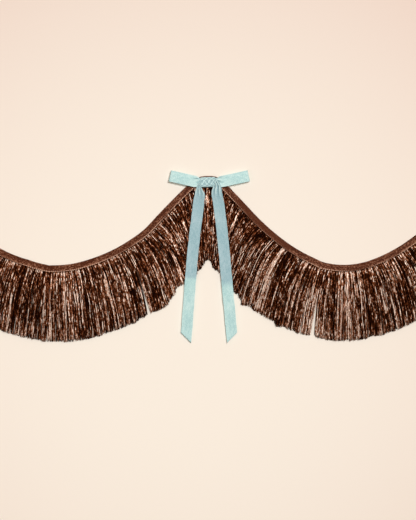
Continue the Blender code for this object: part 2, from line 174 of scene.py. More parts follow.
class Bench:
    """Builds the nodes of one material, or of the world.

    Args:
        owner: the material or the world.
        shader: the name of the shader node that it starts with.
    """

    def __init__(self, owner: bpy.types.ID, shader: str = "Principled BSDF") -> None:
        """Turn the owner's nodes on and keep its shader."""
        self.owner = owner
        owner.use_nodes = True
        self.tree = owner.node_tree
        self.shader = self.tree.nodes[shader]

    @classmethod
    def material(cls, name: str) -> "Bench":
        """A bench for a new material."""
        return cls(bpy.data.materials.new(name))

    def node(self, kind: str, settings: dict, inputs: dict, output: int | str = 0) -> Flow:
        """Make one node: its settings first, then its sockets' values and links.

        Args:
            kind: the node's type.
            settings: its properties, or stops for a Color Ramp, as (place, colour) pairs.
            inputs: a value or a flow for each socket, by index or name.
            output: the socket that the flow carries on.

        Returns:
            A flow from that output.
        """
        made = self.tree.nodes.new(kind)
        for key, value in settings.items():
            if key == "stops":
                fill_ramp(made.color_ramp, value)
            else:
                setattr(made, key, value)
        for key, value in inputs.items():
            self.feed(made.inputs[key], value)
        return Flow(self, made.outputs[output])

    def feed(self, socket: bpy.types.NodeSocket, value: object) -> None:
        """Give an input socket a flow, a number or a tuple."""
        if isinstance(value, Flow):
            self.tree.links.new(value.socket, socket)
        elif socket.type == "RGBA":
            socket.default_value = (*value[:3], 1.0)
        elif socket.type == "VECTOR" and isinstance(value, (int, float)):
            socket.default_value = (value, value, value)
        else:
            socket.default_value = value

    def attribute(self, name: str, output: str) -> Flow:
        """A vertex attribute of the mesh."""
        return self.node("ShaderNodeAttribute", {"attribute_name": name}, {}, output)

    def place(self) -> Flow:
        """The point on the surface, in metres."""
        return self.node("ShaderNodeTexCoord", {}, {}, "Object")

    def noise(self, where: Flow, cells: float | Cells, detail: float = 2.0, roughness: float = 0.5) -> Flow:
        """Noise from 0 to 1.

        Args:
            where: the place that it is read at.
            cells: how many cells there are to the metre, or along each axis.
            detail: how many finer noises it adds.
            roughness: how strong those are.

        Returns:
            A flow of the noise.
        """
        scale = cells
        if isinstance(cells, tuple):
            where, scale = where * cells, 1.0
        inputs = {"Vector": where, "Scale": scale, "Detail": detail, "Roughness": roughness}
        return self.node("ShaderNodeTexNoise", {}, inputs, "Fac")

    def ramp(self, value: Flow, stops: Stops) -> Flow:
        """A colour from a value, through (place, colour) stops."""
        return self.node("ShaderNodeValToRGB", {"stops": stops}, {0: value})

    def span(self, value: Flow, low: float, high: float) -> Flow:
        """A value spread so that low becomes 0 and high becomes 1, and held there."""
        return self.node("ShaderNodeMapRange", {"clamp": True}, {0: value, 1: low, 2: high})

    def mix(self, share: Flow, first: object, second: object) -> Flow:
        """A colour between two, by a share from 0 to 1."""
        return self.node("ShaderNodeMix", {"data_type": "RGBA"}, {0: share, 6: first, 7: second}, output=2)

    def bump(self, height: Flow, strength: float, distance: float) -> Flow:
        """A normal bent by a height."""
        inputs = {"Strength": strength, "Distance": distance, "Height": height}
        return self.node("ShaderNodeBump", {}, inputs)

    def surface(self, **inputs: object) -> bpy.types.ID:
        """Feed the shader and return the material or world."""
        for key, value in inputs.items():
            self.feed(self.shader.inputs[key.replace("_", " ")], value)
        return self.owner


def fill_ramp(ramp: bpy.types.ColorRamp, stops: tuple) -> None:
    """Set a ramp's stops, which it holds two of at first.

    Args:
        ramp: the ramp.
        stops: (place, colour) pairs in order.
    """
    while len(ramp.elements) < len(stops):
        ramp.elements.new(1.0)
    for element, (place, colour) in zip(ramp.elements, stops):
        element.position = place
        element.color = (*colour, 1.0)


# Finishes


@dataclass(frozen=True)
class FoilFinish:
    """Crinkled brown metallised film, its colour ramp painting its reflections as painted shade and painted
    glints.
    """

    name: str = "brown_metallised_film"
    gap_shade: Colour = (0.008, 0.002, 0.001)
    shade: Colour = (0.044, 0.009, 0.002)
    brown: Colour = (0.186, 0.049, 0.016)
    light: Colour = (0.500, 0.228, 0.130)
    glint: Colour = (1.000, 0.785, 0.660)
    stops: tuple[float, ...] = (0.06, 0.29, 0.52, 0.72, 0.92)
    streak_cells: Cells = (700.0, 700.0, 45.0)
    streak_share: float = 0.22
    crinkle_cells: Cells = (430.0, 430.0, 300.0)
    crinkle_share: float = 1.15
    crinkle_roughness: float = 0.22
    speck_cells: Cells = (480.0, 480.0, 170.0)
    speck_middle: float = 0.30
    speck_share: float = 0.28

    def build(self) -> bpy.types.Material:
        """The finish as a material."""
        bench = Bench.material(self.name)
        place = bench.place()
        tone = bench.attribute(TONE, "Fac")
        # The streak, crinkle and speck noises break up the painted glints and shade; the specks are small
        # painted glints.
        streak = bench.span(bench.noise(place, self.streak_cells, 1.0), 0.30, 0.70)
        crinkle = bench.noise(place, self.crinkle_cells)
        speck = bench.span(bench.noise(place, self.speck_cells, 1.0), 0.50, 0.70)
        broken = (streak - NOISE_MIDDLE) * self.streak_share
        broken = broken + (crinkle - NOISE_MIDDLE) * self.crinkle_share
        broken = broken + (speck - self.speck_middle) * self.speck_share
        shade = (tone + broken).clamped()
        # Gap and shade are painted shade; light and glint are painted highlights.
        tones = (self.gap_shade, self.shade, self.brown, self.light, self.glint)
        return bench.surface(
            Base_Color=bench.ramp(shade, tuple(zip(self.stops, tones))),
            Metallic=0.42,
            Roughness=(crinkle * self.crinkle_roughness + 0.22),
            Specular_IOR_Level=0.0,
            Normal=bench.bump(crinkle, 0.35, 0.6 * MM),
        )


@dataclass(frozen=True)
class SatinFinish:
    """Chocolate woven satin, folded and pressed, with pale specks along its lower edge."""

    name: str = "chocolate_satin_weave"
    dark: Colour = (0.058, 0.012, 0.003)
    base: Colour = (0.108, 0.028, 0.009)
    worn: Colour = (0.282, 0.122, 0.070)
    mottle_cells: Cells = (230.0, 400.0, 1.0)
    mottle_share: float = 2.5
    patch_cells: Cells = (28.0, 90.0, 1.0)
    patch_share: float = 0.9
    speck_cells: Cells = (210.0, 330.0, 1.0)
    speck_share: float = 0.75
    usual_tone: float = 0.44
    thread_pitch: float = 0.9 * MM
    speck_start: float = 22.6 * MM
    speck_full: float = 26.6 * MM

    def build(self) -> bpy.types.Material:
        """The finish as a material."""
        bench = Bench.material(self.name)
        cloth = bench.attribute(CLOTH, "Vector")
        mottle = bench.noise(cloth, self.mottle_cells, 2.0, 0.6)
        patch = bench.noise(cloth, self.patch_cells)
        settings = {"wave_type": "BANDS", "bands_direction": "DIAGONAL"}
        inputs = {"Vector": cloth * (1 / self.thread_pitch), "Scale": 0.5, "Distortion": 1.2}
        weave = bench.node("ShaderNodeTexWave", settings, inputs, "Fac")
        run = bench.node("ShaderNodeSeparateXYZ", {}, {0: cloth}, "Y")
        low = bench.span(run, self.speck_start, self.speck_full)
        speck = bench.span(bench.noise(cloth, self.speck_cells, 1.0), 0.50, 0.68)
        wear = bench.attribute(WEAR, "Fac")
        spots = (mottle - NOISE_MIDDLE) * self.mottle_share + (patch - NOISE_MIDDLE) * self.patch_share
        spots = spots + low * speck * self.speck_share - 0.02
        shade = (spots * wear + self.usual_tone).clamped()
        stops = ((0.22, self.dark), (0.50, self.base), (0.80, self.worn))
        return bench.surface(
            Base_Color=bench.ramp(shade, stops),
            Roughness=(mottle * 0.2 + 0.42),
            Specular_IOR_Level=0.06,
            Normal=bench.bump(weave * 0.5 + mottle, 0.35, 0.25 * MM),
        )


@dataclass(frozen=True)
class VelvetFinish:
    """Pale aqua ribbon with a short pile, greyer where the dark fringe lies behind it, with painted shade
    and highlights.
    """

    name: str = "aqua_velvet_ribbon"
    deep: Colour = (0.415, 0.676, 0.695)
    base: Colour = (0.554, 0.812, 0.808)
    pale: Colour = (0.725, 0.940, 0.925)
    greyed_or_shaded: Colour = (0.374, 0.568, 0.630)
    valley_shade: Colour = (0.200, 0.335, 0.365)
    pile_cells: Cells = (480.0, 520.0, 1.0)
    pile_share: float = 0.9
    nap_cells: Cells = (120.0, 220.0, 1.0)
    nap_share: float = 0.6
    brushed_cells: Cells = (22.0, 45.0, 1.0)
    brushed_share: float = 0.7
    usual_tone: float = 0.52
    edge_light_share: float = 0.30
    ridge_highlight_share: float = 0.85
    valley_shade_share: float = 0.92

    def build(self) -> bpy.types.Material:
        """The finish as a material."""
        bench = Bench.material(self.name)
        cloth = bench.attribute(CLOTH, "Vector")
        pile = bench.noise(cloth, self.pile_cells, 1.0)
        nap = bench.noise(cloth, self.nap_cells)
        brushed = bench.noise(cloth, self.brushed_cells)
        shade = (nap - NOISE_MIDDLE) * self.nap_share + (brushed - NOISE_MIDDLE) * self.brushed_share
        shade = (shade + (pile - NOISE_MIDDLE) * self.pile_share + self.usual_tone).clamped()
        stops = ((0.28, self.deep), (0.52, self.base), (0.80, self.pale))
        over_wall = bench.ramp(shade, stops)
        greyed = bench.ramp(shade, tuple((at, self.greyed(colour)) for at, colour in stops))
        # Greyer over the dark fringe, and greyed as painted shade on the knot and the loops' necks.
        body = bench.mix(bench.attribute(BACKING_OR_SHADE, "Fac"), over_wall, greyed)
        # The ribbon's edges are painted paler: painted light.
        edge = bench.attribute(EDGE_LIGHT, "Fac") * self.edge_light_share
        # Fold ridges are painted paler as painted highlights, and fold valleys darker as painted shade.
        folds = bench.attribute(FOLD_SHADING, "Fac")
        lit = bench.mix((edge + folds * self.ridge_highlight_share).clamped(), body, self.pale)
        return bench.surface(
            Base_Color=bench.mix((folds * -self.valley_shade_share).clamped(), lit, self.valley_shade),
            Roughness=0.88,
            Sheen_Weight=0.12,
            Sheen_Roughness=0.45,
            Sheen_Tint=(0.85, 0.97, 0.95),
            Normal=bench.bump(pile * 0.6 + nap * 0.6, 0.4, 0.3 * MM),
        )

    def greyed(self, colour: Colour) -> Colour:
        """A greyer copy of a ribbon colour, as it looks over the dark fringe and as painted shade on the
        knot and necks.
        """
        return tuple(c * over / base for c, over, base in zip(colour, self.greyed_or_shaded, self.base))


@dataclass(frozen=True)
class ThreadFinish:
    """Pale thread of the stitching along the tape."""

    name: str = "pale_stitching_thread"
    base: Colour = (0.780, 0.470, 0.330)
    dark: Colour = (0.150, 0.055, 0.028)
    fray_share: float = 1.2

    def build(self) -> bpy.types.Material:
        """The finish as a material."""
        bench = Bench.material(self.name)
        place = bench.place()
        fray = bench.noise(place, 900.0, 2.0)
        patch = bench.noise(place, 14.0, 1.0)
        wear = bench.attribute(WEAR, "Fac")
        frayed = (fray - NOISE_MIDDLE) * self.fray_share * wear
        share = (bench.span(patch, 0.30, 0.56) * wear + frayed).clamped()
        return bench.surface(
            Base_Color=bench.mix(share, self.dark, self.base),
            Roughness=0.7,
            Specular_IOR_Level=0.1,
            Normal=bench.bump(fray, 0.5, 0.2 * MM),
        )


@dataclass(frozen=True)
class GlueFinish:
    """Clear soft glue, a little cloudy."""

    name: str = "clear_glue_dot"
    clear: Colour = (0.80, 0.78, 0.72)
    cloudy: Colour = (0.66, 0.62, 0.54)

    def build(self) -> bpy.types.Material:
        """The finish as a material."""
        bench = Bench.material(self.name)
        cloud = bench.noise(bench.place(), 700.0, 3.0)
        return bench.surface(
            Base_Color=bench.mix(cloud, self.clear, self.cloudy),
            Roughness=(cloud * 0.2 + 0.15),
            Normal=bench.bump(cloud, 0.3, 0.2 * MM),
        )


@dataclass(frozen=True)
class WallFinish:
    """Matt cream wall, seen from its front only, darker towards its rim as painted shade."""

    name: str = "cream_wall_paint"
    centre: Colour = (0.973, 0.909, 0.821)
    rim_shade: Colour = (0.858, 0.704, 0.626)
    fade_centre: Colour = (-0.06, 0.0, -0.17)
    fade_start: float = 0.10
    fade_end: float = 0.93

    def build(self) -> bpy.types.Material:
        """The finish as a material."""
        bench = Bench.material(self.name)
        place = bench.place()
        settings = {"operation": "DISTANCE"}
        # The wall darkens towards its rim: painted shade for the light's fall-off.
        reach = bench.node("ShaderNodeVectorMath", settings, {0: place, 1: self.fade_centre}, "Value")
        share = bench.span(reach, self.fade_start, self.fade_end)
        paint = bench.surface(
            Base_Color=bench.mix(share * share, self.centre, self.rim_shade),
            Roughness=0.95,
            Specular_IOR_Level=0.0,
        )
        back = bench.node("ShaderNodeNewGeometry", {}, {}, "Backfacing")
        clear = bench.node("ShaderNodeBsdfTransparent", {}, {})
        front = Flow(bench, bench.shader.outputs[0])
        seen = bench.node("ShaderNodeMixShader", {}, {0: back, 1: front, 2: clear})
        bench.feed(bench.tree.nodes["Material Output"].inputs["Surface"], seen)
        return paint


class Finishes:
    """Every finish of the banner, built once."""

    def __init__(self) -> None:
        """Build the materials."""
        self.foil = FoilFinish().build()
        self.satin = SatinFinish().build()
        self.velvet = VelvetFinish().build()
        self.thread = ThreadFinish().build()
        self.glue = GlueFinish().build()
        self.wall = WallFinish().build()


# Mesh helpers


def smoothstep(share: np.ndarray | float) -> np.ndarray | float:
    """0 below 0, 1 above 1, and an S-curve between."""
    held = np.clip(share, 0.0, 1.0)
    return held * held * (3 - 2 * held)


def bell(off: np.ndarray) -> np.ndarray:
    """1 at 0, and down to nothing on both sides."""
    return np.exp(-(off**2))


def squared_off(values: np.ndarray, power: float) -> np.ndarray:
    """A sine or cosine with fuller shoulders, its sign kept."""
    return np.sign(values) * np.abs(values) ** power


def stacked(x: np.ndarray, y: np.ndarray, z: np.ndarray) -> np.ndarray:
    """Points from their places along each axis, which broadcast together."""
    return np.stack(np.broadcast_arrays(x, y, z), axis=-1)


def per_strip(chance: np.random.Generator, low: float, high: float, count: int) -> np.ndarray:
    """A random number from low to high for each of so many strips, as rows of one."""
    return chance.uniform(low, high, (count, 1))


def repeated(faces: np.ndarray, count: int, points: int) -> np.ndarray:
    """The faces of one part, for so many parts with so many points each."""
    return (faces[None] + (np.arange(count) * points)[:, None, None]).reshape(-1, 4)


def mesh_object(
    name: str, points: np.ndarray, faces: np.ndarray, material: bpy.types.Material,
    uv: np.ndarray | None = None, smooth: bool = True,
) -> bpy.types.Object:
    """A mesh object from arrays of points and quads.

    Args:
        name: the piece's name.
        points: one row of x, y, z for each vertex.
        faces: one row of four vertex numbers for each quad.
        material: its finish.
        uv: one row of u, v for each corner of each face, in order.
        smooth: whether its faces are shaded smooth.

    Returns:
        The object, linked to the scene.
    """
    mesh = bpy.data.meshes.new(name)
    mesh.vertices.add(len(points))
    mesh.vertices.foreach_set("co", np.asarray(points, np.float32).ravel())
    mesh.loops.add(faces.size)
    mesh.loops.foreach_set("vertex_index", faces.astype(np.int32).ravel())
    mesh.polygons.add(len(faces))
    mesh.polygons.foreach_set("loop_start", np.arange(0, faces.size, faces.shape[1], dtype=np.int32))
    mesh.update(calc_edges=True)
    mesh.validate()
    if uv is not None:
        layer = mesh.uv_layers.new(name=UV_NAME)
        layer.data.foreach_set("uv", np.asarray(uv, np.float32).ravel())
    if smooth:
        mesh.shade_smooth()
    else:
        mesh.shade_flat()
    mesh.materials.append(material)
    obj = bpy.data.objects.new(name, mesh)
    bpy.context.scene.collection.objects.link(obj)
    return obj


def set_values(obj: bpy.types.Object, name: str, values: np.ndarray) -> None:
    """Store one number, or one row of three, for each vertex of a mesh.

    Args:
        obj: the piece.
        name: the attribute's name.
        values: the numbers, in the vertices' order.
    """
    vectors = values.ndim == 2
    kind = "FLOAT_VECTOR" if vectors else "FLOAT"
    made = obj.data.attributes.new(name, kind, "POINT")
    made.data.foreach_set("vector" if vectors else "value", values.astype(np.float32).ravel())


def grid_faces(rows: int, columns: int, wrapped: bool = False) -> np.ndarray:
    """Quads of a grid of points, rows by columns, row after row.

    Args:
        rows: the number of rows of points.
        columns: the number of points in a row.
        wrapped: whether the last column joins the first.

    Returns:
        One row of four vertex numbers for each quad.
    """
    across = columns if wrapped else columns - 1
    row, column = np.meshgrid(np.arange(rows - 1), np.arange(across), indexing="ij")
    beside = (column + 1) % columns
    quads = np.stack(
        (row * columns + column, row * columns + beside,
         (row + 1) * columns + beside, (row + 1) * columns + column), axis=-1,
    )
    return quads.reshape(-1, 4)


def thicken(obj: bpy.types.Object, thickness: float) -> bpy.types.Object:
    """Give an open sheet its thickness, half to each side."""
    solid = obj.modifiers.new("Thickness", "SOLIDIFY")
    solid.thickness = thickness
    solid.offset = 0.0
    return obj


def ripple(place: np.ndarray, wave: float, seed: int, terms: int = 4) -> np.ndarray:
    """A smooth random line through about -1 to 1, with a wave of about this length.

    Args:
        place: where it is read, in metres.
        wave: the longest wave.
        seed: which line it is.
        terms: how many waves are added.

    Returns:
        The line's height at each place.
    """
    chance = np.random.default_rng(seed)
    total = np.zeros_like(place)
    for term in range(terms):
        length = wave / (1 + 0.63 * term)
        total += np.sin(TURN * (place / length + chance.uniform())) / (1 + 0.4 * term)
    return total / 1.7


# The line of the tape


def curve_at(points: tuple, place: np.ndarray) -> np.ndarray:
    """The height at place of the smooth curve through points, level at both its ends.

    Args:
        points: (place, height) pairs in order.
        place: where the curve is read.

    Returns:
        The heights.
    """
    xs, ys = (np.array(column, float) for column in zip(*points))
    steps = np.diff(xs)
    rises = np.diff(ys) / steps
    slopes = np.zeros(len(xs))
    slopes[1:-1] = (rises[:-1] * steps[1:] + rises[1:] * steps[:-1]) / (steps[:-1] + steps[1:])
    place = np.asarray(place, float)
    i = np.clip(np.searchsorted(xs, place, side="right") - 1, 0, len(xs) - 2)
    step = steps[i]
    t = np.minimum((place - xs[i]) / step, 1)
    return (
        (2 * t**3 - 3 * t**2 + 1) * ys[i]
        + (t**3 - 2 * t**2 + t) * step * slopes[i]
        + (3 * t**2 - 2 * t**3) * ys[i + 1]
        + (t**3 - t**2) * step * slopes[i + 1]
    )


@dataclass
class Swag:
    """The tape's top edge from its left end to its right, measured along itself from the crest.

    Its creases are in millimetres: x, how much higher, and their reach.
    """

    tape_height: float = 14 * MM
    sag: float = 194 * MM
    inner_spans: tuple[float, float] = (331.5 * MM, 296.0 * MM)
    outer_spans: tuple[float, float] = (314.0 * MM, 311.0 * MM)
    outer_end_share: float = 0.93
    samples: int = 400
    left_sag_shares: tuple = (
        (0, 0), (0.05, 0.008), (0.09, 0.035), (0.16, 0.14), (0.32, 0.415), (0.42, 0.595),
        (0.53, 0.73), (0.65, 0.843), (0.78, 0.932), (0.90, 0.985), (1, 1),
    )
    right_sag_shares: tuple = (
        (0, 0), (0.05, 0.007), (0.09, 0.035), (0.15, 0.123), (0.23, 0.250), (0.40, 0.522),
        (0.52, 0.680), (0.64, 0.810), (0.76, 0.908), (0.88, 0.977), (1, 0.998),
    )
    counts: tuple[int, int] = (10, 9)
    creases: tuple = (
        (-347, -1.5, 8), (-392, 2.0, 34), (-200, -0.8, 50), (248, -2.3, 8), (330, 1.2, 40),
    )
    points: np.ndarray = field(init=False)
    lengths: np.ndarray = field(init=False)

    def __post_init__(self) -> None:
        """Lay out the line and measure it."""
        left = self.half(Side.LEFT, self.inner_spans[0], self.outer_spans[0], self.left_sag_shares)
        right = self.half(Side.RIGHT, self.inner_spans[1], self.outer_spans[1], self.right_sag_shares)
        self.points = np.concatenate((left[:0:-1], right))
        for x, rise, reach in self.creases:
            self.points[:, 1] += rise * MM * np.exp(-np.abs(self.points[:, 0] / MM - x) / reach)
        steps = np.hypot(*np.diff(self.points, axis=0).T)
        self.lengths = np.concatenate(([0], np.cumsum(steps)))
        self.lengths -= self.lengths[len(left) - 1]

    def half(self, side: Side, inner: float, outer: float, shares: tuple) -> np.ndarray:
        """Points of one swag, from the crest out."""
        share = np.arange(self.samples + 1) / self.samples
        x = side.value * inner * share
        z = self.tape_height / 2 - self.sag * curve_at(shares, share)
        further = self.outer_end_share * share[1:]
        x2 = side.value * (inner + outer * further)
        z2 = self.tape_height / 2 - self.sag * curve_at(shares, 1 - further)
        return np.stack((np.concatenate((x, x2)), np.concatenate((z, z2))), axis=1)

    @property
    def ends(self) -> tuple[float, float]:
        """Lengths of the left and right cut ends."""
        return float(self.lengths[0]), float(self.lengths[-1])

    def spot(self, along: np.ndarray) -> tuple[np.ndarray, np.ndarray]:
        """x and z of the top edge at these lengths."""
        return (
            np.interp(along, self.lengths, self.points[:, 0]),
            np.interp(along, self.lengths, self.points[:, 1]),
        )

    def slope(self, along: np.ndarray, reach: float = SLOPE_REACH) -> np.ndarray:
        """Angle of the top edge over this reach to each side, positive where it climbs to the right."""
        x0, z0 = self.spot(np.maximum(along - reach, self.ends[0]))
        x1, z1 = self.spot(np.minimum(along + reach, self.ends[1]))
        return np.arctan2(z1 - z0, x1 - x0)

    def place(
        self, along: np.ndarray, depth: np.ndarray, y: np.ndarray, reach: float = SLOPE_REACH,
    ) -> np.ndarray:
        """Points this deep below the top edge, square to it, and y from the wall.

        Args:
            along: lengths along the top edge.
            depth: how far below it.
            y: how far from the wall, negative to the front.
            reach: over how much of the edge its slope is taken.

        Returns:
            The points.
        """
        x, z = self.spot(along)
        angle = self.slope(along, reach)
        return stacked(x + depth * np.sin(angle), y, z - depth * np.cos(angle))

    def section(self, side: Side, number: int) -> tuple[float, float]:
        """Start and end of a fringe section, numbered from the crest out."""
        step = abs(self.ends[side.place]) / self.counts[side.place]
        near = side.value * step * (number - 1)
        far = side.value * step * number
        return min(near, far), max(near, far)


# Header


@dataclass
class HeaderTape:
    """The satin tape folded over the heads of the foil, and its stitching."""

    swag: Swag
    finishes: Finishes
    leaf: float = 0.7 * MM
    depth: float = 3.4 * MM
    leaf_depths: tuple[float, ...] = (14.0, 12.4, 10.6, 8.6, 6.6, 4.6, 2.8)
    fold_points: int = 9
    fold_drop: float = 1.15 * MM
    row_step: float = 3.5 * MM
    soft_start: float = 4 * MM
    soft_run: float = 10 * MM
    edge_wave: float = 0.18 * MM
    front_puff: float = 0.25 * MM
    stitch_margin: float = 4 * MM
    stitch_depth: float = 13.3 * MM
    stitch_pitch: float = 4.3 * MM
    stitch_shift: float = 0.25
    stitch_length: float = 4.2 * MM
    stitch_radius: float = 0.95 * MM
    stitch_sink: float = 0.30 * MM
    stitch_tilt: float = 0.22
    stitch_flatness: float = 0.6
    clean_stretch: tuple[float, float] = (60, 190)
    clean_fade: float = 14
    clean_share: float = 0.70

    def build(self) -> list[bpy.types.Object]:
        """Make the tape and its stitching."""
        return [self.tape(), self.stitching()]

    def profile(self) -> np.ndarray:
        """Rows of depth below the top edge and y: up the back leaf, over the fold, down the front."""
        middle = self.leaf / 2
        back = [(d * MM, -middle) for d in self.leaf_depths]
        radius = (self.depth - self.leaf) / 2
        drop = self.fold_drop
        fold = [
            (middle + drop - drop * math.sin(turn), -self.depth / 2 + radius * math.cos(turn))
            for turn in np.linspace(0, math.pi, self.fold_points)
        ]
        front = [(d, middle - self.depth) for d, _ in reversed(back)]
        return np.array(back + fold + front)

    def tape(self) -> bpy.types.Object:
        """The folded tape, with a soft front leaf and a lower edge that wavers."""
        left, right = self.swag.ends
        rows = round((right - left) / self.row_step)
        along = np.linspace(left, right, rows + 1)[:, None]
        profile = self.profile()
        depth, y = profile[:, 0][None, :], profile[:, 1][None, :]
        front = (np.arange(len(profile)) >= len(profile) // 2)[None, :]
        low = smoothstep((depth - self.soft_start) / self.soft_run)
        waver = self.edge_wave * low * ripple(along, 0.041, 5)
        puff = self.front_puff * front * low * (0.4 + 0.6 * np.abs(ripple(along, 0.060, 6)))
        points = self.swag.place(along, depth + waver, y - puff)
        run = np.concatenate(([0], np.cumsum(np.hypot(*np.diff(profile, axis=0).T))))
        cloth = stacked(along, run[None, :], 0.0 * along)
        faces = grid_faces(rows + 1, len(profile))
        obj = mesh_object("satin_tape", points.reshape(-1, 3), faces, self.finishes.satin)
        set_values(obj, CLOTH, cloth.reshape(-1, 3))
        set_values(obj, WEAR, np.repeat(self.wear(along), len(profile)))
        thicken(obj, self.leaf)
        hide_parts("header_tape")
        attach(obj, "root")
        return obj

    def wear(self, along: np.ndarray) -> np.ndarray:
        """How worn the tape is, less on its clean stretch right of the bow, which is in millimetres."""
        x = self.swag.spot(along)[0].ravel() / MM
        start, end = self.clean_stretch
        clean = smoothstep((x - start) / self.clean_fade) * smoothstep((end - x) / self.clean_fade)
        return 1 - self.clean_share * clean

    def stitching(self) -> bpy.types.Object:
        """Short stitches of thread through the front leaf, just above its lower edge."""
        left, right = self.swag.ends
        count = int((right - left - 2 * self.stitch_margin) / self.stitch_pitch)
        chance = np.random.default_rng(17)
        middles = left + self.stitch_margin + self.stitch_pitch * (np.arange(count) + 0.5)
        middles += chance.uniform(-self.stitch_shift, self.stitch_shift, count) * MM
        length = self.stitch_length * chance.uniform(0.8, 1.1, count)
        sides, rings = 6, 5
        way = np.linspace(-1, 1, rings)
        rounded = np.sqrt(np.maximum(1 - 0.96 * np.abs(way) ** 4, 0.02))
        turn = TURN * np.arange(sides) / sides
        along = middles[:, None, None] + length[:, None, None] / 2 * way[None, :, None]
        sink = self.stitch_sink * np.abs(way)[None, :, None] ** 3
        radius = self.stitch_radius * rounded[None, :, None]
        tilts = chance.uniform(-self.stitch_tilt, self.stitch_tilt, count)
        tilt = tilts[:, None, None] * MM * way[None, :, None]
        depth = self.stitch_depth + tilt + radius * np.cos(turn)[None, None, :]
        standing = radius * self.stitch_flatness * np.sin(turn)[None, None, :]
        y = -(self.depth + self.front_puff) + sink - standing
        points = self.swag.place(along + 0 * depth, depth, y)
        faces = repeated(grid_faces(rings, sides, wrapped=True), count, sides * rings)
        obj = mesh_object("tape_stitching", points.reshape(-1, 3), faces, self.finishes.thread)
        set_values(obj, WEAR, np.repeat(self.wear(middles), sides * rings))
        close_ends(obj)
        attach(obj, "root")
        return obj


def close_ends(obj: bpy.types.Object) -> None:
    """Fill every open end of a mesh's tubes."""
    bm = bmesh.new()
    bm.from_mesh(obj.data)
    open_edges = [edge for edge in bm.edges if edge.is_boundary]
    bmesh.ops.holes_fill(bm, edges=open_edges, sides=0)
    bmesh.ops.recalc_face_normals(bm, faces=bm.faces)
    bm.to_mesh(obj.data)
    bm.free()
    obj.data.shade_smooth()


# Foil fringe


# Strips that catch the light along one stretch, in millimetres: x at its middle, z at its top and bottom,
# half its width, and how light it is.
CATCHES = (
    (-431, -231, -333, 2.2, 0.95), (-423, -178, -189, 2.2, 0.85), (-395, -197, -219, 1.6, 0.85),
    (-394, -278, -341, 1.7, 0.92), (-406, -236, -283, 1.6, 0.72), (-382, -241, -269, 1.5, 0.78),
    (-357, -236, -308, 1.6, 0.97), (-343, -228, -273, 1.5, 0.75), (-342, -290, -350, 2.6, 0.88),
    (-323, -217, -228, 1.7, 0.92), (-307, -232, -252, 2.4, 0.88), (-319, -263, -276, 1.5, 0.9),
    (-294, -256, -273, 1.6, 0.85), (-303, -271, -295, 1.4, 0.8), (-275, -259, -311, 1.6, 0.93),
    (-277, -207, -224, 1.4, 0.85), (-253, -214, -231, 1.4, 0.85), (-222, -217, -256, 2.0, 0.85),
    (-293, -323, -337, 1.4, 0.88), (-130, -209, -241, 1.5, 0.85), (-76, -150, -190, 1.3, 0.68),
    (-66, -161, -211, 1.3, 0.74), (-82, -108, -141, 1.6, 0.75), (-51, -90, -113, 1.7, 0.9),
    (-64, -120, -136, 1.6, 0.93), (-95, -150, -182, 1.3, 0.8), (-110, -186, -232, 1.4, 0.8),
    (-89, -202, -225, 1.4, 0.8), (-162, -141, -159, 1.7, 0.88), (-210, -202, -328, 1.7, 0.85),
    (-199, -207, -225, 1.5, 0.85), (-179, -218, -276, 1.6, 0.75), (-172, -186, -236, 1.4, 0.78),
    (-146, -234, -260, 1.4, 0.72), (129, -144, -281, 4.2, 0.93), (141, -163, -189, 1.4, 0.85),
    (57, -75, -105, 1.7, 0.9), (170, -180, -197, 1.4, 0.93), (196, -172, -189, 1.5, 0.88),
    (209, -260, -329, 1.6, 0.95), (108, -213, -241, 1.5, 0.85), (94, -245, -284, 1.5, 0.8),
    (70, -147, -160, 1.7, 0.9), (185, -213, -228, 1.5, 0.85), (-5, -36, -58, 1.6, 0.9),
    (10, -78, -154, 1.5, 0.72), (225, -228, -247, 1.6, 0.85), (227, -240, -338, 3.2, 0.95),
    (301, -212, -271, 2.0, 0.97), (312, -214, -255, 1.7, 0.92), (313, -286, -345, 1.6, 0.92),
    (379, -236, -290, 1.8, 0.95), (401, -249, -304, 1.6, 0.93), (367, -193, -210, 1.4, 0.9),
    (409, -179, -217, 1.5, 0.85), (436, -212, -231, 1.4, 0.88), (349, -260, -275, 1.4, 0.88),
    (287, -278, -290, 1.3, 0.88), (274, -262, -275, 1.3, 0.88), (323, -226, -252, 1.4, 0.85),
)

# Wider locks painted lighter or darker than their neighbours, as painted reflection and shade, in
# millimetres: x, half the width, and how much lighter.
LOCKS = (
    (-427, 15, 0.06), (-392, 20, -0.12), (-351, 12, 0.04), (-305, 18, 0.10), (-266, 12, -0.14),
    (-236, 14, 0.02), (-188, 20, 0.04), (-153, 16, -0.12), (-62, 20, 0.02), (60, 14, -0.10),
    (123, 12, 0.12), (151, 14, -0.08), (229, 14, 0.12), (305, 20, 0.14), (345, 22, -0.16), (397, 20, 0.04),
    (300, 130, 0.08), (0, 24, -0.24), (-100, 60, -0.05), (-320, 120, -0.03), (100, 40, -0.05),
)

# How often a strip catches the light where it leaves the tape, by x in millimetres.
ROOT_PLACES = (-500, -10, 20, 55, 190, 225, 500)
ROOT_CHANCES = (0.75, 0.62, 0.35, 0.06, 0.08, 0.50, 0.60)

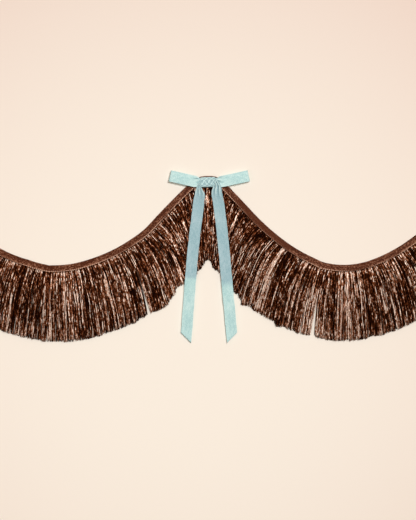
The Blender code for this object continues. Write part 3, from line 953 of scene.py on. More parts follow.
# Painted shade in the hollows between the locks, and painted light on stretches of film, in millimetres:
# x, z, half the width, half the height, and how much lighter.
HOLLOW_SHADE = (
    (-412, -268, 26, 58, -0.32), (-165, -225, 18, 24, -0.22), (-115, -245, 14, 30, -0.16),
    (-106, -150, 12, 16, -0.28), (-76, -172, 18, 22, -0.46), (-50, -92, 12, 22, -0.32),
    (-48, -155, 10, 20, -0.24), (112, -126, 22, 18, -0.42), (170, -195, 28, 22, -0.14),
    (236, -222, 17, 20, -0.48), (366, -230, 10, 18, -0.22), (374, -295, 18, 32, -0.40),
    (425, -240, 18, 60, -0.28),
)
PAINTED_LIGHT_STRETCHES = (
    (-440, -200, 9, 18, 0.20), (-374, -322, 9, 18, 0.36), (-308, -250, 50, 30, 0.14),
    (-214, -275, 18, 28, 0.20), (-4, -40, 15, 20, 0.20), (61, -110, 9, 13, 0.32),
    (126, -204, 9, 15, 0.28), (292, -285, 17, 52, 0.24),
)

# The cut lower edge of the fringe, in millimetres: x, and how much longer than usual a strip is there.
CUT_EDGE = (
    (-700, -7), (-448, -3), (-425, -3), (-330, -3), (-315, -1), (-280, -1), (-262, -2), (-225, -1.5),
    (-205, -4.5), (-188, -2.5), (-160, -2.5), (-145, -4.5), (-132, -5), (-122, -7), (-110, -2), (-93, -1),
    (-84, -6), (-75, -8), (-66, -20), (-58, -21), (-45, -14), (-24, -1), (-14, 11), (-5, 13), (4, 15),
    (12, 15), (20, -2), (30, -12), (45, -10), (64, -8), (73, 6), (82, -1), (90, -4), (108, -2),
    (125, -3), (142, -4), (151, 3), (160, -2), (186, -3), (195, -3), (220, -8), (240, -4.4), (255, -2.4),
    (342, -4), (351, -8), (378, -4), (395, -7), (404, -5.5), (421, -5), (450, -6), (700, -9),
)


@dataclass
class FringeSection:
    """One section of the fringe: several plies of slit film, each a row of crinkled strips."""

    swag: Swag
    finishes: Finishes
    side: Side
    number: int
    fixed_sections: int = 3
    blend_length: float = 26 * MM
    plies: int = 6
    back_pitch: float = 2.0 * MM
    front_pitch: float = 2.9 * MM
    pitch_jitter: float = 0.22
    ply_shift: float = 0.41
    first_ply: float = 1.05
    ply_stack: float = 1.25
    width: float = 1.70 * MM
    film: float = 0.07 * MM
    back_wider: float = 0.50
    root_depth: float = 13.5 * MM
    slope_reach: float = 26 * MM
    length: float = 153.0 * MM
    ragged: float = 2.8 * MM
    segments: int = 34
    tip_lean: float = 0.36
    root_lean: float = 0.88
    straighten: float = 60 * MM
    closing: float = 0.62
    wanders: tuple = ((2.0, 0.046, 31), (1.1, 0.013, 32))
    calm_reach: float = 25 * MM
    least_sway: float = 0.20
    more_sway: float = 1.1
    partings: tuple = (
        (-204.5 * MM, 1.6 * MM, 3.0), (-128.5 * MM, 4.4 * MM, 2.6), (225.6 * MM, 6.0 * MM, 2.2),
    )
    parting_reach: float = 9 * MM
    back_puff: float = 0.7
    front_puff: float = 2.0
    swinging_puff: float = 1.9
    crinkle: float = 0.22
    twists: tuple[float, ...] = (22.0, 45.0, 85.0)
    twist_chances: tuple[float, ...] = (0.50, 0.35, 0.15)
    twist_bias: float = 12
    back_calm: float = 0.75
    tip_taper: float = 0.25
    fixed_reach: float = -6.0 * MM
    swinging_reach: float = -9.5 * MM
    # Tones of the film, which paint its reflections, glints and shade.
    dull_share: float = 0.45
    dull_tone: tuple[float, float] = (0.21, 0.09)
    bright_tone: tuple[float, float] = (0.64, 0.13)
    back_shade: float = 0.36
    clumps: tuple = ((0.10, 0.35, 0.021, 41), (0.05, -0.2, 0.052, 42))
    root_shade: float = 0.17
    root_reach: float = 34 * MM
    jitter: float = 0.17
    glints: tuple = ((0.80, 4, 10, 0.53), (0.60, 6, 16, 0.53), (0.08, 25, 60, 0.46))
    lit_root: float = 0.45
    lit_root_reach: float = 4 * MM
    dark_stretch: float = 0.35
    tip_light: float = 0.08

    @property
    def node(self) -> str:
        """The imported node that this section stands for."""
        return f"fringe_{self.side.word}_{self.number:02d}"

    @property
    def swings(self) -> bool:
        """Whether this section has a hinge."""
        return self.number > self.fixed_sections

    def build(self) -> bpy.types.Object:
        """Make the section's strips and hang them from the tape."""
        chance = np.random.default_rng(1000 * (self.side.value + 2) + self.number)
        start, end = self.swag.section(self.side, self.number)
        fields = [self.ply(ply, start, end, chance) for ply in range(self.plies)]
        along, root_y, front, ply = (np.concatenate(parts) for parts in zip(*fields))
        lines, tangents = self.lines(along, root_y, front, chance)
        points = self.rings(lines, tangents, front, chance)
        tone = self.tones(lines, ply, chance)
        obj = self.strips(points, tone)
        body = f"{self.node}_body"
        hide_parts(self.node)
        if not self.swings:
            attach(obj, "root")
        else:
            middle = (start + end) / 2
            hinge, low = (
                Vector(self.swag.place(middle, depth, -1.7 * MM))
                for depth in (self.swag.tape_height, self.swag.tape_height + self.blend_length)
            )
            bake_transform(obj)
        return obj

    def ply(self, ply: int, start: float, end: float, chance: np.random.Generator) -> tuple:
        """Where the strips of one ply start, and how far to the front it hangs.

        Args:
            ply: 0 at the back.
            start: the section's start along the tape.
            end: its end.
            chance: the section's random numbers.

        Returns:
            Lengths along the tape, y at the root, a share from back to front, and the ply.
        """
        share = ply / (self.plies - 1)
        pitch = self.back_pitch + (self.front_pitch - self.back_pitch) * share
        count = round((end - start) / pitch)
        step = (end - start) / count
        shift = (ply * self.ply_shift) % 1.0
        along = start + step * (np.arange(count) + 0.25 + 0.5 * shift)
        along += chance.uniform(-self.pitch_jitter, self.pitch_jitter, count) * step
        root_y = -(self.first_ply + self.ply_stack * share) * MM + chance.uniform(-0.05, 0.05, count) * MM
        return along, root_y, np.full(count, share), np.full(count, ply)

    def lines(
        self, along: np.ndarray, root_y: np.ndarray, front: np.ndarray, chance: np.random.Generator,
    ) -> tuple[np.ndarray, np.ndarray]:
        """Centre lines of the strips, from the tape down.

        Args:
            along: where each strip leaves the tape.
            root_y: its y there.
            front: its share from the back ply to the front one.
            chance: the section's random numbers.

        Returns:
            Points and unit tangents, one row of each strip.
        """
        count = len(along)
        slope = self.swag.slope(along, self.slope_reach)[:, None]
        root = self.swag.place(along, np.full(count, self.root_depth), root_y, self.slope_reach)
        share = np.linspace(0, 1, self.segments + 1)[None, :]
        usual = np.full((count, 1), self.length) * share
        tip = root[:, 0] + self.hang(usual, slope, root[:, 0])[0][:, -1]
        total = self.length + self.ragged * chance.uniform(-1, 1, count) + self.hem(tip)
        down = total[:, None] * share
        x, z = self.hang(down, slope, root[:, 0])
        wander = sum(gain * ripple(along, wave, seed) for gain, wave, seed in self.wanders)
        wander += chance.normal(0, 1.0, count) * (0.25 + 0.75 * front)
        calm = np.minimum(1, np.abs(root[:, 0]) / self.calm_reach)
        x = x + root[:, :1] + MM * (wander * calm)[:, None] * share**1.4
        x += self.sway(down, front, chance)
        tip_x = x[:, -1:]
        loose_give = per_strip(chance, 0.75, 1.1, count)
        for parting, push, power in self.partings:
            away = tip_x - parting
            pushed = np.sign(away) * push * loose_give * np.exp(-np.abs(away) / self.parting_reach)
            x += pushed * share**power
        puff = (self.back_puff + self.front_puff * front)[:, None] * MM
        if self.swings:
            puff = puff * self.swinging_puff
        swell = smoothstep(down / (45 * MM)) * (1 - 0.25 * smoothstep((share - 0.5) * 2))
        crinkle = chance.normal(0, 1, (count, self.segments + 1)) * self.crinkle * MM
        y = root[:, 1:2] - puff * swell + crinkle * smoothstep(down / (8 * MM))
        y = np.minimum(y, -0.9 * MM)
        lines = np.stack((x, y, root[:, 2:3] + z), axis=-1)
        tangents = np.gradient(lines, axis=1)
        tangents /= np.linalg.norm(tangents, axis=-1, keepdims=True)
        return lines, tangents

    def sway(self, down: np.ndarray, front: np.ndarray, chance: np.random.Generator) -> np.ndarray:
        """How far each strip swerves to the side, more in the front plies.

        Args:
            down: lengths down the strips, one row of each.
            front: each strip's share from the back ply to the front one.
            chance: the section's random numbers.

        Returns:
            Steps in x.
        """
        count = len(down)
        wave = per_strip(chance, 0.05, 0.15, count)
        far = (self.least_sway + self.more_sway * per_strip(chance, 0, 1, count) ** 2 * front[:, None]) * MM
        start = per_strip(chance, 0, TURN, count)
        return far * smoothstep(down / (30 * MM)) * np.sin(TURN * down / wave + start)

    def hang(self, down: np.ndarray, slope: np.ndarray, root_x: np.ndarray) -> tuple:
        """How far to the side and up a strip has come, for each length down it.

        Args:
            down: lengths down the strips, one row of each.
            slope: the tape's slope at their roots.
            root_x: x of their roots, which holds those beside the crest back from crossing it.

        Returns:
            Steps in x and z from the root.
        """
        lean = slope * (self.tip_lean + self.root_lean * np.exp(-down / self.straighten))
        step = np.diff(down, axis=1)
        drift = np.sum((np.sin(lean[:, 1:]) + np.sin(lean[:, :-1])) / 2 * step, axis=1)
        room = self.closing * np.abs(root_x)
        lean = lean * np.minimum(1.0, room / np.maximum(np.abs(drift), 1e-6))[:, None]
        middle = (lean[:, 1:] + lean[:, :-1]) / 2
        none = np.zeros((len(down), 1))
        x = np.concatenate((none, np.cumsum(step * np.sin(middle), axis=1)), axis=1)
        z = -np.concatenate((none, np.cumsum(step * np.cos(middle), axis=1)), axis=1)
        return x, z

    def hem(self, tip_x: np.ndarray) -> np.ndarray:
        """How much longer than usual a strip is cut, by where its tip hangs."""
        places, extras = zip(*CUT_EDGE)
        return np.interp(tip_x, np.array(places) * MM, np.array(extras) * MM)

    def rings(
        self, lines: np.ndarray, tangents: np.ndarray, front: np.ndarray, chance: np.random.Generator,
    ) -> np.ndarray:
        """Four corners of each strip's flat cross-section at every point of its line.

        Args:
            lines: the centre lines.
            tangents: their directions.
            front: each strip's share from the back ply to the front one.
            chance: the section's random numbers.

        Returns:
            Corners, as strips by rings by four by three.
        """
        count, rings = lines.shape[:2]
        down = np.linspace(0, self.length, rings)[None, :]
        twist = chance.choice(self.twists, count, p=self.twist_chances)[:, None]
        wave = per_strip(chance, 0.035, 0.110, count)
        begin = per_strip(chance, 0, TURN, count)
        bias = chance.normal(0, self.twist_bias, (count, 1))
        turn = np.radians(twist * np.sin(TURN * down / wave + begin) + bias)
        turn = turn * smoothstep(down / (22 * MM))
        back = (1 - front)[:, None]
        turn = turn * (1 - self.back_calm * back)
        outward = np.array([0.0, -1.0, 0.0])
        across = np.cross(outward, tangents)
        across /= np.linalg.norm(across, axis=-1, keepdims=True)
        face = np.cross(tangents, across)
        side = across * np.cos(turn)[..., None] + face * np.sin(turn)[..., None]
        normal = -across * np.sin(turn)[..., None] + face * np.cos(turn)[..., None]
        width = self.width * per_strip(chance, 0.75, 1.12, count) * (1 + self.back_wider * back)
        taper = 1 - self.tip_taper * smoothstep((down / self.length - 0.95) / 0.05)
        half = (width * taper / 2)[..., None]
        thin = self.film / 2
        ways = ((-1, -1), (1, -1), (1, 1), (-1, 1))
        corners = [lines + a * side * half + b * normal * thin for a, b in ways]
        points = np.stack(corners, axis=2)
        furthest = self.swinging_reach if self.swings else self.fixed_reach
        points[..., 1] = np.clip(points[..., 1], furthest, -0.25 * MM)
        return points

    def tones(self, lines: np.ndarray, ply: np.ndarray, chance: np.random.Generator) -> np.ndarray:
        """How light the film is painted at each ring: brown, with painted shade and painted glints.

        Args:
            lines: the centre lines.
            ply: each strip's ply.
            chance: the section's random numbers.

        Returns:
            Tones from 0 to 1, as strips by rings.
        """
        count, rings = lines.shape[:2]
        down = np.linspace(0, self.length, rings)[None, :]
        share = (ply / (self.plies - 1))[:, None]
        # Dull and bright strips are painted reflection: film that mirrors less or more light.
        dull = per_strip(chance, 0, 1, count) < self.dull_share
        tone = np.where(
            dull, chance.normal(*self.dull_tone, (count, 1)), chance.normal(*self.bright_tone, (count, 1)),
        )
        # Painted shade on the back plies, behind the front ones.
        low_down = smoothstep((down / self.length - 0.85) / 0.15)
        tone = tone - self.back_shade * (1 - share) * (1 - 0.7 * low_down)
        tone = tone + self.clumps_and_painted_light(lines, down)
        jitter = chance.normal(0, self.jitter, (count, rings))
        # Painted glints along the strips.
        for chances, reach_low, reach_high, strength in self.glints:
            centre = per_strip(chance, 0.0, 1.0, count) * self.length
            reach = per_strip(chance, reach_low, reach_high, count) * MM
            lit = per_strip(chance, 0, 1, count) < chances * (0.3 + 0.7 * share)
            gain = per_strip(chance, 0.5, 1.0, count) * strength
            tone += lit * gain * bell((down - centre) / reach)
        # Painted highlights where the strips bend out of the tape.
        lit_roots = np.interp(lines[:, :1, 0], np.array(ROOT_PLACES) * MM, ROOT_CHANCES)
        root_catch = per_strip(chance, 0, 1, count) < lit_roots * share
        centre = per_strip(chance, 1, 8, count) * MM
        tone += self.lit_root * root_catch * bell((down - centre) / self.lit_root_reach)
        # Painted shade: dark stretches along the strips.
        centre = per_strip(chance, 0.0, 1.0, count) * self.length
        reach = per_strip(chance, 8, 30, count) * MM
        tone -= self.dark_stretch * per_strip(chance, 0, 1, count) * bell((down - centre) / reach)
        tone = self.caught(lines, share, tone)
        tone += jitter + self.tip_light * smoothstep((down / self.length - 0.96) / 0.03)
        return np.clip(tone, 0.02, 0.98)

    def clumps_and_painted_light(self, lines: np.ndarray, down: np.ndarray) -> np.ndarray:
        """How much lighter or darker neighbouring strips are together, with painted light and shade.

        Args:
            lines: the centre lines.
            down: lengths down the strips.

        Returns:
            Steps in tone, as strips by rings.
        """
        across, level = lines[..., 0], lines[..., 2]
        clumps_light_and_shade = np.zeros(across.shape)
        for gain, slant, wave, seed in self.clumps:
            clumps_light_and_shade += gain * ripple(across + slant * level, wave, seed)
        # Locks painted lighter or darker: painted reflection and shade.
        for x, reach, gain in LOCKS:
            clumps_light_and_shade += gain * bell((across / MM - x) / reach)
        # Painted shade in the hollows and painted light on stretches.
        for x, z, wide, high, gain in HOLLOW_SHADE + PAINTED_LIGHT_STRETCHES:
            clumps_light_and_shade += gain * np.exp(-(((across / MM - x) / wide) ** 2 + ((level / MM - z) / high) ** 2))
        # Painted shade under the tape.
        clumps_light_and_shade -= self.root_shade * bell(down / self.root_reach)
        return clumps_light_and_shade

    def caught(self, lines: np.ndarray, share: np.ndarray, tone: np.ndarray) -> np.ndarray:
        """The tones with the strips that catch the light along a stretch.

        Args:
            lines: the centre lines.
            share: each strip's share from the back ply to the front one.
            tone: the tones before.

        Returns:
            The tones after.
        """
        level = lines[..., 2] / MM
        for x, top, bottom, reach, lit in CATCHES:
            away = np.abs(lines[..., 0] / MM - x)
            away = np.where(np.abs(level - (top + bottom) / 2) < 5, away, np.inf)
            near = np.min(away, axis=1, keepdims=True)
            window = smoothstep((top + 4 - level) / 5) * smoothstep((level - bottom + 4) / 5)
            chosen = (near < 0.45 * reach) & (share > 0.5)
            tone = np.where(chosen, tone + (lit + 0.04 - tone) * window, tone)
        return tone

    def strips(self, points: np.ndarray, tone: np.ndarray) -> bpy.types.Object:
        """One mesh of every strip, each a closed band.

        Args:
            points: corners, as strips by rings by four by three.
            tone: the film's tone at each ring.

        Returns:
            The section's object.
        """
        count, rings = points.shape[:2]
        caps = np.array([[3, 2, 1, 0], [4 * (rings - 1) + k for k in range(4)]])
        each = np.concatenate((grid_faces(rings, 4, wrapped=True), caps))
        obj = mesh_object(
            self.node.replace("fringe", "foil_fringe"), points.reshape(-1, 3),
            repeated(each, count, 4 * rings), self.finishes.foil,
            uv=self.bake_map(count, rings), smooth=False,
        )
        set_values(obj, TONE, np.repeat(tone.reshape(-1), 4))
        smooth = np.ones((count, len(each)), bool)
        smooth[:, 1:-2:2] = False
        smooth[:, -2:] = False
        obj.data.polygons.foreach_set("use_smooth", smooth.ravel())
        return obj

    def bake_map(self, count: int, rings: int) -> np.ndarray:
        """A place in the map for every strip: three rows of islands, each a strip unrolled.

        Args:
            count: the number of strips.
            rings: the number of rings of a strip.

        Returns:
            u and v of each face's corners, in the faces' order.
        """
        rows = 3
        columns = math.ceil(count / rows)
        edges = np.array([0.03, 0.40, 0.49, 0.86, 0.95])
        ring, part = np.meshgrid(np.arange(rings - 1), np.arange(4), indexing="ij")
        ring, part = ring.ravel(), part.ravel()
        low, high = ring / (rings - 1), (ring + 1) / (rings - 1)
        left, right = edges[part], edges[part + 1]
        body = np.stack(
            (np.stack((left, low), 1), np.stack((right, low), 1),
             np.stack((right, high), 1), np.stack((left, high), 1)), axis=1,
        )
        body[..., 1] = 0.03 + 0.90 * body[..., 1]
        cap = np.array([[0.10, 0.0], [0.45, 0.0], [0.45, 0.02], [0.10, 0.02]])
        first = cap + (0.0, 0.005)
        last = cap + (0.0, 0.955)
        each = np.concatenate((body, first[None], last[None]))
        number = np.arange(count)
        shift = np.stack((number % columns, number // columns), axis=1)
        return ((each[None] + shift[:, None, None, :]) / (columns, rows)).reshape(-1, 2)


# Bow


@dataclass
class Bow:
    """The velvet bow: knot, two loops and two tails.

    Where a value is a pair, it holds the left side's and then the right side's. The tails' places and
    halves are in millimetres, by how far down the tail, and so are the begins and ends of their heads.
    """

    swag: Swag
    finishes: Finishes
    ribbon: float = 24.4 * MM
    thickness: float = 0.6 * MM
    painted_light_edge: float = 0.14
    knot_size: tuple[float, float, float] = (31 * MM, 9 * MM, 22.0 * MM)
    knot_centre: tuple[float, float, float] = (-2.0 * MM, -9.2 * MM, -6.8 * MM)
    knot_hem: float = 0.06
    knot_turned_in: float = 0.42
    knot_waist: float = 0.10
    knot_slant: float = 0.6 * MM
    knot_creases: tuple = ((0.16, 1.7, 3.4 * MM, 53), (0.34, -0.7, 7.5 * MM, 52), (0.38, 0.9, 9.5 * MM, 51))
    knot_ribbon: float = 82 * MM
    loop_mouth: float = 19 * MM
    loop_level: float = -6.9 * MM
    loop_lengths: tuple[float, float] = (64.5 * MM, 68.0 * MM)
    loop_rise: float = 13.5 * MM
    loop_bend: float = 6 * MM
    loop_neck: float = 13 * MM
    loop_pinch: float = 4 * MM
    loop_plump: float = 1.1 * MM
    loop_wave: float = 0.35 * MM
    flare: float = 20 * MM
    flare_start: float = 4 * MM
    neck_half_depth: float = 1.3 * MM
    half_depth: float = 2.6 * MM
    gather_height: float = 0.80 * MM
    gather_start: float = 5.5 * MM
    tail_spread: float = 19.5 * MM
    tail_top: float = -17.9 * MM
    tail_drop: float = 326.5 * MM
    tail_slant: float = 22.5 * MM
    tail_curl: float = 0.45 * MM
    tail_wave: float = 0.40 * MM
    tail_edge_wave: float = 0.25 * MM
    tail_hinge: float = 24 * MM
    tail_places: tuple = (
        ((0, -20.3), (6.6, -20.0), (15.3, -18.9), (28.4, -20.6), (54.5, -23.8), (106.6, -30.3),
         (158.8, -35.6), (211, -39.8), (263, -43.8), (315, -47.8), (350, -50.4)),
        ((0, 18.9), (6.6, 18.3), (15.3, 18.4), (28.4, 20.8), (54.5, 24.5), (106.6, 30.6),
         (158.8, 35.6), (211, 40.4), (263, 45.3), (315, 50.0), (350, 52.8)),
    )
    tail_halves: tuple = (
        ((0, 5.0), (2.3, 5.9), (6.6, 7.9), (11, 9.9), (20, 11.5), (30, 12.0), (45, 12.1), (60, 12.1),
         (350, 12.1)),
        ((0, 9.2), (2.3, 9.8), (6.6, 10.7), (11, 11.4), (20, 11.9), (30, 12.1), (45, 12.1), (60, 12.1),
         (350, 12.1)),
    )
    head_levels: tuple[float, float] = (-4.5 * MM, 2.5 * MM)
    head_begins: tuple = ((-16.5, 2.4), (14.0, 3.2))
    head_ends: tuple = ((-20.3, 5.0), (18.9, 9.2))
    head_bulges: tuple[float, float] = (1.0 * MM, 1.6 * MM)
    head_tucked: float = 4.6 * MM
    head_lead: float = 12 * MM
    fringe_ends: tuple[float, float] = (-215 * MM, -227 * MM)
    fringe_fades: tuple[float, float] = (9 * MM, 20 * MM)
    front_lead: float = 3.4 * MM

    def build(self) -> list[bpy.types.Object]:
        """Make every piece of the bow."""
        pieces = [self.knot()]
        for side in Side:
            pieces += [self.loop(side), self.tail(side)]
        return pieces

    def dress(
        self, name: str, points: np.ndarray, along: np.ndarray, across: np.ndarray, wrapped: bool = False,
    ) -> bpy.types.Object:
        """A piece of ribbon from a grid of points.

        Args:
            name: the piece's name.
            points: rows by columns by three.
            along: how far along the ribbon each point is.
            across: how far across, from its middle.
            wrapped: whether the last column joins the first.

        Returns:
            The object, with its thickness and its cloth attributes.
        """
        rows, columns = points.shape[:2]
        faces = grid_faces(rows, columns, wrapped)
        obj = mesh_object(name, points.reshape(-1, 3), faces, self.finishes.velvet)
        set_values(obj, CLOTH, stacked(along, across, 0.0 * points[..., 0]).reshape(-1, 3))
        # The ribbon's edges are painted paler: painted light.
        edge = smoothstep((np.abs(across) / (self.ribbon / 2) - (1 - self.painted_light_edge)) / 0.12)
        set_values(obj, EDGE_LIGHT, np.broadcast_to(edge, points.shape[:2]).ravel())
        thicken(obj, self.thickness)
        return obj

    def knot(self) -> bpy.types.Object:
        """The knot: a flattened sleeve of ribbon with fine crossing creases, its ends turned in."""
        rows, columns = 61, 112
        share = np.linspace(0, 1, rows)[:, None]
        angle = (TURN * np.arange(columns) / columns)[None, :]
        width, depth, height = self.knot_size
        x, y, z = self.knot_centre
        half_depth = (depth - self.thickness) / 2
        half_height = (height - self.thickness) / 2
        hem = self.knot_hem
        inward = np.clip((np.abs(share - 0.5) - (0.5 - hem)) / hem, 0, 1)
        across = width * (np.clip(share, hem, 1 - hem) - 0.5) / (1 - 2 * hem)
        turned = 1 - self.knot_turned_in * (1 - np.sqrt(1 - 0.98 * inward**2))
        rounded = 1 - self.knot_waist * np.abs(2 * share - 1) ** 5
        run = angle * 0.5 * height
        crease = sum(
            gain * ripple(run + across * slant, wave, seed) for gain, slant, wave, seed in self.knot_creases
        )
        crease = crease * MM * (1 - inward)
        slant = self.knot_slant * (2 * share - 1)
        out = half_depth * turned * rounded - crease
        up = half_height * turned * rounded - np.abs(crease) * 0.5
        points = stacked(
            x + across,
            y + out * squared_off(np.cos(angle), 0.7),
            z + slant + up * squared_off(np.sin(angle), 0.6),
        )
        round_way = angle / math.pi * (height + depth) / 1.1 + 0 * across
        obj = self.dress("velvet_knot", points, round_way, across * 0.6, wrapped=True)
        # Painted shade: the whole knot is greyed.
        set_values(obj, BACKING_OR_SHADE, np.full(rows * columns, 0.70))
        set_values(obj, FOLD_SHADING, np.clip(-crease / (0.42 * MM), -1, 1).ravel())
        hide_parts("bow_knot")
        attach(obj, "root")
        return obj

    def loop_line(self, reach: np.ndarray, length: float) -> tuple[np.ndarray, np.ndarray, np.ndarray]:
        """Forward, up and tilt of a loop's middle line, reach out from the knot's mouth."""
        full = math.hypot(length, self.loop_bend) - self.loop_bend
        out = np.maximum(reach, 0.0)
        arc = np.hypot(out, self.loop_bend)
        up = self.loop_rise * (arc - self.loop_bend) / full
        tilt = np.arctan(self.loop_rise / full * out / arc)
        return 0.5 * MM * out / length, up, tilt

    def loop(self, side: Side) -> bpy.types.Object:
        """One loop: out along its back leaf, round the outer fold and back along its front leaf."""
        leaf_rows, fold_rows, columns = 64, 10, 45
        length = self.loop_lengths[side.place]
        straight = length - self.half_depth
        leaf_reach = -self.loop_neck + (straight + self.loop_neck) * np.linspace(0, 1, leaf_rows) ** 1.3
        turn = np.linspace(0, math.pi, fold_rows + 2)[1:-1]
        reach = np.concatenate((leaf_reach, straight + self.half_depth * np.sin(turn), leaf_reach[::-1]))
        face = np.concatenate((np.ones(leaf_rows), np.cos(turn), -np.ones(leaf_rows)))
        reach, face = reach[:, None], face[:, None]
        v = np.linspace(-1, 1, columns)[None, :]
        forward, up, tilt = self.loop_line(reach, length)
        opened = smoothstep((reach + self.loop_neck - self.flare_start) / self.flare)
        inner = self.knot_size[2] / 2 - self.thickness - self.loop_pinch
        half = inner + (self.ribbon / 2 - inner) * opened
        leaf_depth = self.neck_half_depth + (self.half_depth - self.neck_half_depth) * opened
        plump = self.loop_plump * opened * (1 - v**2) * np.sin(math.pi * np.clip(reach / length, 0, 1))
        wave = self.loop_wave * opened * ripple(reach + 6 * MM * v, 0.034, 61 + side.value)
        fold = np.abs(face)
        pleat = self.gathers(side, reach, half * (1 - v))
        depth = face * (leaf_depth + plump * fold) + fold * (np.sign(face) * pleat + wave)
        points = stacked(
            side.value * (self.loop_mouth + reach - v * half * np.sin(tilt)),
            self.knot_centre[1] - forward + depth,
            self.loop_level + up + v * half * np.cos(tilt),
        )
        step = np.hypot(np.diff(reach[:, 0]), self.half_depth * np.diff(face[:, 0]))
        along = np.concatenate(([0], np.cumsum(step)))[:, None]
        obj = self.dress(f"velvet_loop_{side.word}", points, along, v * self.ribbon / 2 + 0 * reach)
        # Painted shade where the loop's neck goes into the knot.
        neck = 0.45 * (1 - smoothstep((reach + 2 * MM) / (9 * MM))) + 0 * v
        set_values(obj, BACKING_OR_SHADE, neck.ravel())
        set_values(obj, FOLD_SHADING, np.clip(pleat / (0.9 * MM), -1, 1).ravel())
        node = f"bow_loop_{side.word}"
        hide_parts(node)
        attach(obj, f"{node}_body")
        return obj

    def gathers(self, side: Side, reach: np.ndarray, below: np.ndarray) -> np.ndarray:
        """How far a loop's gathers stand out, fanned from the knot's upper corner.

        Args:
            side: which loop.
            reach: how far out of the knot's mouth.
            below: how far below the loop's upper edge.

        Returns:
            Heights of the ridges.
        """
        out = reach + self.gather_start
        ray = np.arctan2(np.maximum(below, 0.05 * MM), out)
        away = np.hypot(out, below)
        fade = smoothstep(away / (5 * MM)) * (1 - smoothstep((away - 9 * MM) / (17 * MM)))
        ridges = np.cos(11.0 * ray + 0.8 * side.value) + 0.45 * np.cos(19.0 * ray + 1.7)
        return self.gather_height * fade * ridges

    def tail_depths(self) -> tuple:
        """The tail's distance from the wall, as (share of its drop, y)."""
        over_fringe = -6.8 * MM
        return (
            (0, self.knot_centre[1] + 0.7 * MM), (0.13, over_fringe), (0.62, over_fringe), (1, -4.8 * MM),
        )

    def tail(self, side: Side) -> bpy.types.Object:
        """One tail: over the knot's end, gathered under it, flat over the fringe, cut on a slant."""
        rows, columns = 110, 31
        place, top = side.place, self.tail_top
        v = np.linspace(-1, 1, columns)[None, :]
        share = (np.linspace(0, 1, rows) ** 1.25)[:, None]
        drop = (self.tail_drop - v * side.value * self.tail_slant / 2) * share
        level = drop / self.tail_drop
        half = curve_at(self.tail_halves[place], drop / MM) * MM
        middle = curve_at(self.tail_places[place], drop / MM) * MM
        folds = 1 - smoothstep((drop - 2 * MM) / (26 * MM))
        pleat = self.pleats(side, v) * folds
        uneven = 0.6 + 0.4 * ripple(drop, 0.21, 71 + place)
        below_neck = smoothstep(drop / (40 * MM))
        curl = self.tail_curl * v**2 * smoothstep(drop / (50 * MM)) * uneven
        wave = self.tail_wave * ripple(drop + 9 * MM * v, 0.085, 73 + place) * below_neck
        from_front = self.front_lead * (1 - smoothstep(drop / (34 * MM)))
        y = curve_at(self.tail_depths(), level) - from_front - pleat - curl + wave
        edge_wave = self.tail_edge_wave * ripple(drop, 0.06, 75 + place) * below_neck
        hanging = stacked(middle + v * half + edge_wave, y, top - drop)
        over, over_run = self.over_knot(side, v, hanging[0])
        points = np.concatenate((over, hanging))
        along = np.concatenate((np.broadcast_to(over_run, over.shape[:2]), drop))
        obj = self.dress(f"velvet_tail_{side.word}", points, along, v * self.ribbon / 2 + 0 * along)
        below = self.fringe_ends[place] + self.fringe_fades[place] / 2 - points[..., 2]
        behind = 1 - smoothstep(below / self.fringe_fades[place])
        behind = behind * (1 - 0.3 * smoothstep((points[..., 2] + 22 * MM) / (10 * MM)))
        set_values(obj, BACKING_OR_SHADE, behind.ravel())
        ridges = np.concatenate((self.head_pleats(side, v, len(over)), pleat)) / (1.1 * MM)
        set_values(obj, FOLD_SHADING, np.clip(ridges - 0.1, -1, 1).ravel())
        node = f"ribbon_tail_{side.word}"
        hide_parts(node)
        front = self.tail_depths()[0][1] - 1.0 * MM
        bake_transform(obj)
        head = float(-over_run[0, 0])
        return obj

    def pleats(self, side: Side, v: np.ndarray) -> np.ndarray:
        """How far the gathers stand out across the ribbon, v from -1 to 1."""
        first = 1.05 * np.cos(2.6 * math.pi * v + 0.7 * side.value + 0.9)
        return MM * (first + 0.40 * np.cos(5.2 * math.pi * v - 0.9 * side.value))

    def head_pleats(self, side: Side, v: np.ndarray, rows: int) -> np.ndarray:
        """The gathers of a tail's head, which close in towards its start."""
        share = (np.arange(rows) / rows)[:, None]
        return self.pleats(side, v + 0.20 * (1 - share)) * smoothstep(share * 2.5)

    def over_knot(self, side: Side, v: np.ndarray, last: np.ndarray) -> tuple[np.ndarray, np.ndarray]:
        """Rows of a tail's head, from behind the knot's end out over the loop's neck and down.

        Args:
            side: which tail.
            v: places across the ribbon, from -1 to 1.
            last: the hanging ribbon's first row, which the head runs into.

        Returns:
            Points, and how far along each row is, which ends below zero.
        """
        rows = 44
        share = (np.arange(rows) / rows)[:, None]
        front = self.knot_centre[1] - 4.4 * MM
        start = self.head_levels[side.place]
        begin, end = self.head_begins[side.place], self.head_ends[side.place]
        centre = begin[0] + (end[0] - begin[0]) * smoothstep(share * 1.1)
        half = begin[1] + (end[1] - begin[1]) * share**1.1
        out = front + self.head_tucked * (1 - smoothstep(share / 0.30))
        crown = self.head_bulges[side.place] * (1 - v**2) * smoothstep(share / 0.3)
        pleat = self.head_pleats(side, v, rows) * 1.15
        points = stacked(
            (centre + v * half) * MM, out - crown - pleat, start + (last[:, 2][None] - start) * share,
        )
        joined = smoothstep((share - 0.60) / 0.40)[..., None]
        lead = last[None] + np.array([0, 0, 1.0]) * (1 - share[..., None]) * self.head_lead
        points = points * (1 - joined) + lead * joined
        middle = np.concatenate((points, last[None]))[:, len(last) // 2]
        steps = np.linalg.norm(np.diff(middle, axis=0), axis=1)
        run = -np.cumsum(steps[::-1])[::-1][:, None]
        return points, run


# Studio


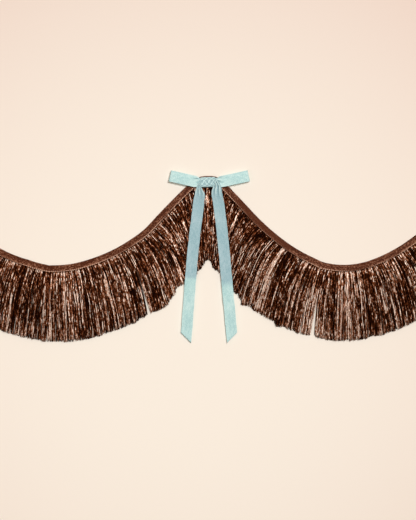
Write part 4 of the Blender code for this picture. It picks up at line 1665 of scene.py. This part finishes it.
@dataclass(frozen=True)
class Lamp:
    """A square area lamp, placed from the middle of the view and pointed at it."""

    name: str
    power: float
    size: float
    where: tuple[float, float, float]
    colour: Colour

    def build(self, target: Vector) -> None:
        """Add the lamp to the scene, pointed at target."""
        data = bpy.data.lights.new(self.name, "AREA")
        data.energy = self.power
        data.size = self.size
        data.color = self.colour
        obj = bpy.data.objects.new(self.name, data)
        obj.location = target + Vector(self.where)
        obj.rotation_euler = (target - obj.location).to_track_quat("-Z", "Y").to_euler()
        bpy.context.scene.collection.objects.link(obj)


@dataclass
class Studio:
    """The wall, the floor, the lights and the camera."""

    finishes: Finishes
    wall_y: float = 0.6 * MM
    wall_top: float = 2.2
    floor_z: float = -1.45
    cove: float = 0.35
    reach: float = 4.0
    view_centre: tuple[float, float] = (-1.1 * MM, -175.6 * MM)
    view_height: float = 1130.4 * MM
    distance: float = 2.6
    lamps: tuple[Lamp, ...] = (
        Lamp("key", 537.0, 2.0, (1.90, -8.2, 1.75), (1.0, 0.995, 0.985)),
        Lamp("fill", 13.0, 2.2, (-1.6, -2.4, -0.3), (1.0, 0.95, 0.89)),
        Lamp("back_fill", 42.0, 2.0, (0.4, 2.6, 0.8), (1.0, 0.99, 0.98)),
    )
    world_colour: Colour = (1.0, 0.76, 0.56)
    world_low: float = 0.09
    world_high: float = 0.42
    world_seen: float = 0.90
    world_lean: float = 0.4
    world_rise: tuple[float, float] = (-0.15, 0.75)

    def build(self) -> None:
        """Set up everything that isn't the banner."""
        self.backdrop()
        for lamp in self.lamps:
            lamp.build(self.target)
        self.world()
        self.camera()

    @property
    def target(self) -> Vector:
        """The middle of the view, on the wall."""
        return Vector((self.view_centre[0], 0, self.view_centre[1]))

    def backdrop(self) -> bpy.types.Object:
        """Wall, cove and floor as one smooth sheet."""
        bend = [
            (self.wall_y - self.cove + self.cove * math.cos(turn),
             self.floor_z + self.cove - self.cove * math.sin(turn))
            for turn in np.linspace(0, math.pi / 2, 17)
        ]
        profile = np.array([(self.wall_y, self.wall_top), *bend, (-self.reach, self.floor_z)])
        sides = np.array([self.reach, -self.reach])
        points = np.array([(x, y, z) for y, z in profile for x in sides])
        obj = mesh_object("studio_backdrop", points, grid_faces(len(profile), 2), self.finishes.wall)
        obj.location = self.target
        obj.data.transform(obj.matrix_basis.inverted())
        obj.visible_diffuse = False
        obj.visible_glossy = False
        obj.visible_transmission = False
        obj.visible_shadow = False
        return obj

    def world(self) -> None:
        """A pale room, brighter above and in front, as the foil mirrors it."""
        world = bpy.data.worlds.new("pale_room")
        bench = Bench(world, "Background")
        way = bench.node("ShaderNodeTexCoord", {}, {}, "Generated")
        height = bench.node("ShaderNodeSeparateXYZ", {}, {0: way}, "Z")
        across = bench.node("ShaderNodeSeparateXYZ", {}, {0: way}, "X")
        above = bench.span(height + across * self.world_lean, *self.world_rise)
        lit = above * (self.world_high - self.world_low) + self.world_low
        seen = bench.node("ShaderNodeLightPath", {}, {}, "Is Camera Ray")
        strength = lit + (self.world_seen - lit) * seen
        bpy.context.scene.world = bench.surface(Color=self.world_colour, Strength=strength)

    def camera(self) -> None:
        """The camera, square to the wall at the photograph's framing."""
        data = bpy.data.cameras.new("camera")
        data.sensor_fit = "AUTO"
        data.sensor_width = 36.0
        data.lens = self.distance * data.sensor_width / self.view_height
        data.clip_end = 60.0
        obj = bpy.data.objects.new("camera", data)
        obj.location = (self.view_centre[0], -self.distance, self.view_centre[1])
        obj.rotation_euler = (math.pi / 2, 0, 0)
        bpy.context.scene.collection.objects.link(obj)
        bpy.context.scene.camera = obj


def dress_inside(frame: dict, finishes: Finishes) -> None:
    """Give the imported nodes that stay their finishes.

    Args:
        finishes: the banner's finishes.
    """
    for name, material in (("foil_root", finishes.foil), ("adhesive_dot", finishes.glue)):
        node = frame["nodes"][name]
        node.data.materials.clear()
        node.data.materials.append(material)


def main() -> None:
    """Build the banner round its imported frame."""
    logging.basicConfig(level=logging.INFO, format="%(name)s: %(message)s")
    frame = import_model()
    scene = bpy.context.scene
    scene.view_settings.view_transform = "Standard"
    finishes = Finishes()
    swag = Swag()
    Studio(finishes).build()
    dress_inside(frame, finishes)
    pieces = HeaderTape(swag, finishes).build()
    for side, count in zip(Side, swag.counts):
        pieces += [FringeSection(swag, finishes, side, n).build() for n in range(1, count + 1)]
    pieces += Bow(swag, finishes).build()
    for piece in pieces:
        LOG.info("%s: %d faces", piece.name, len(piece.data.polygons))


if __name__ == "__main__":
    main()
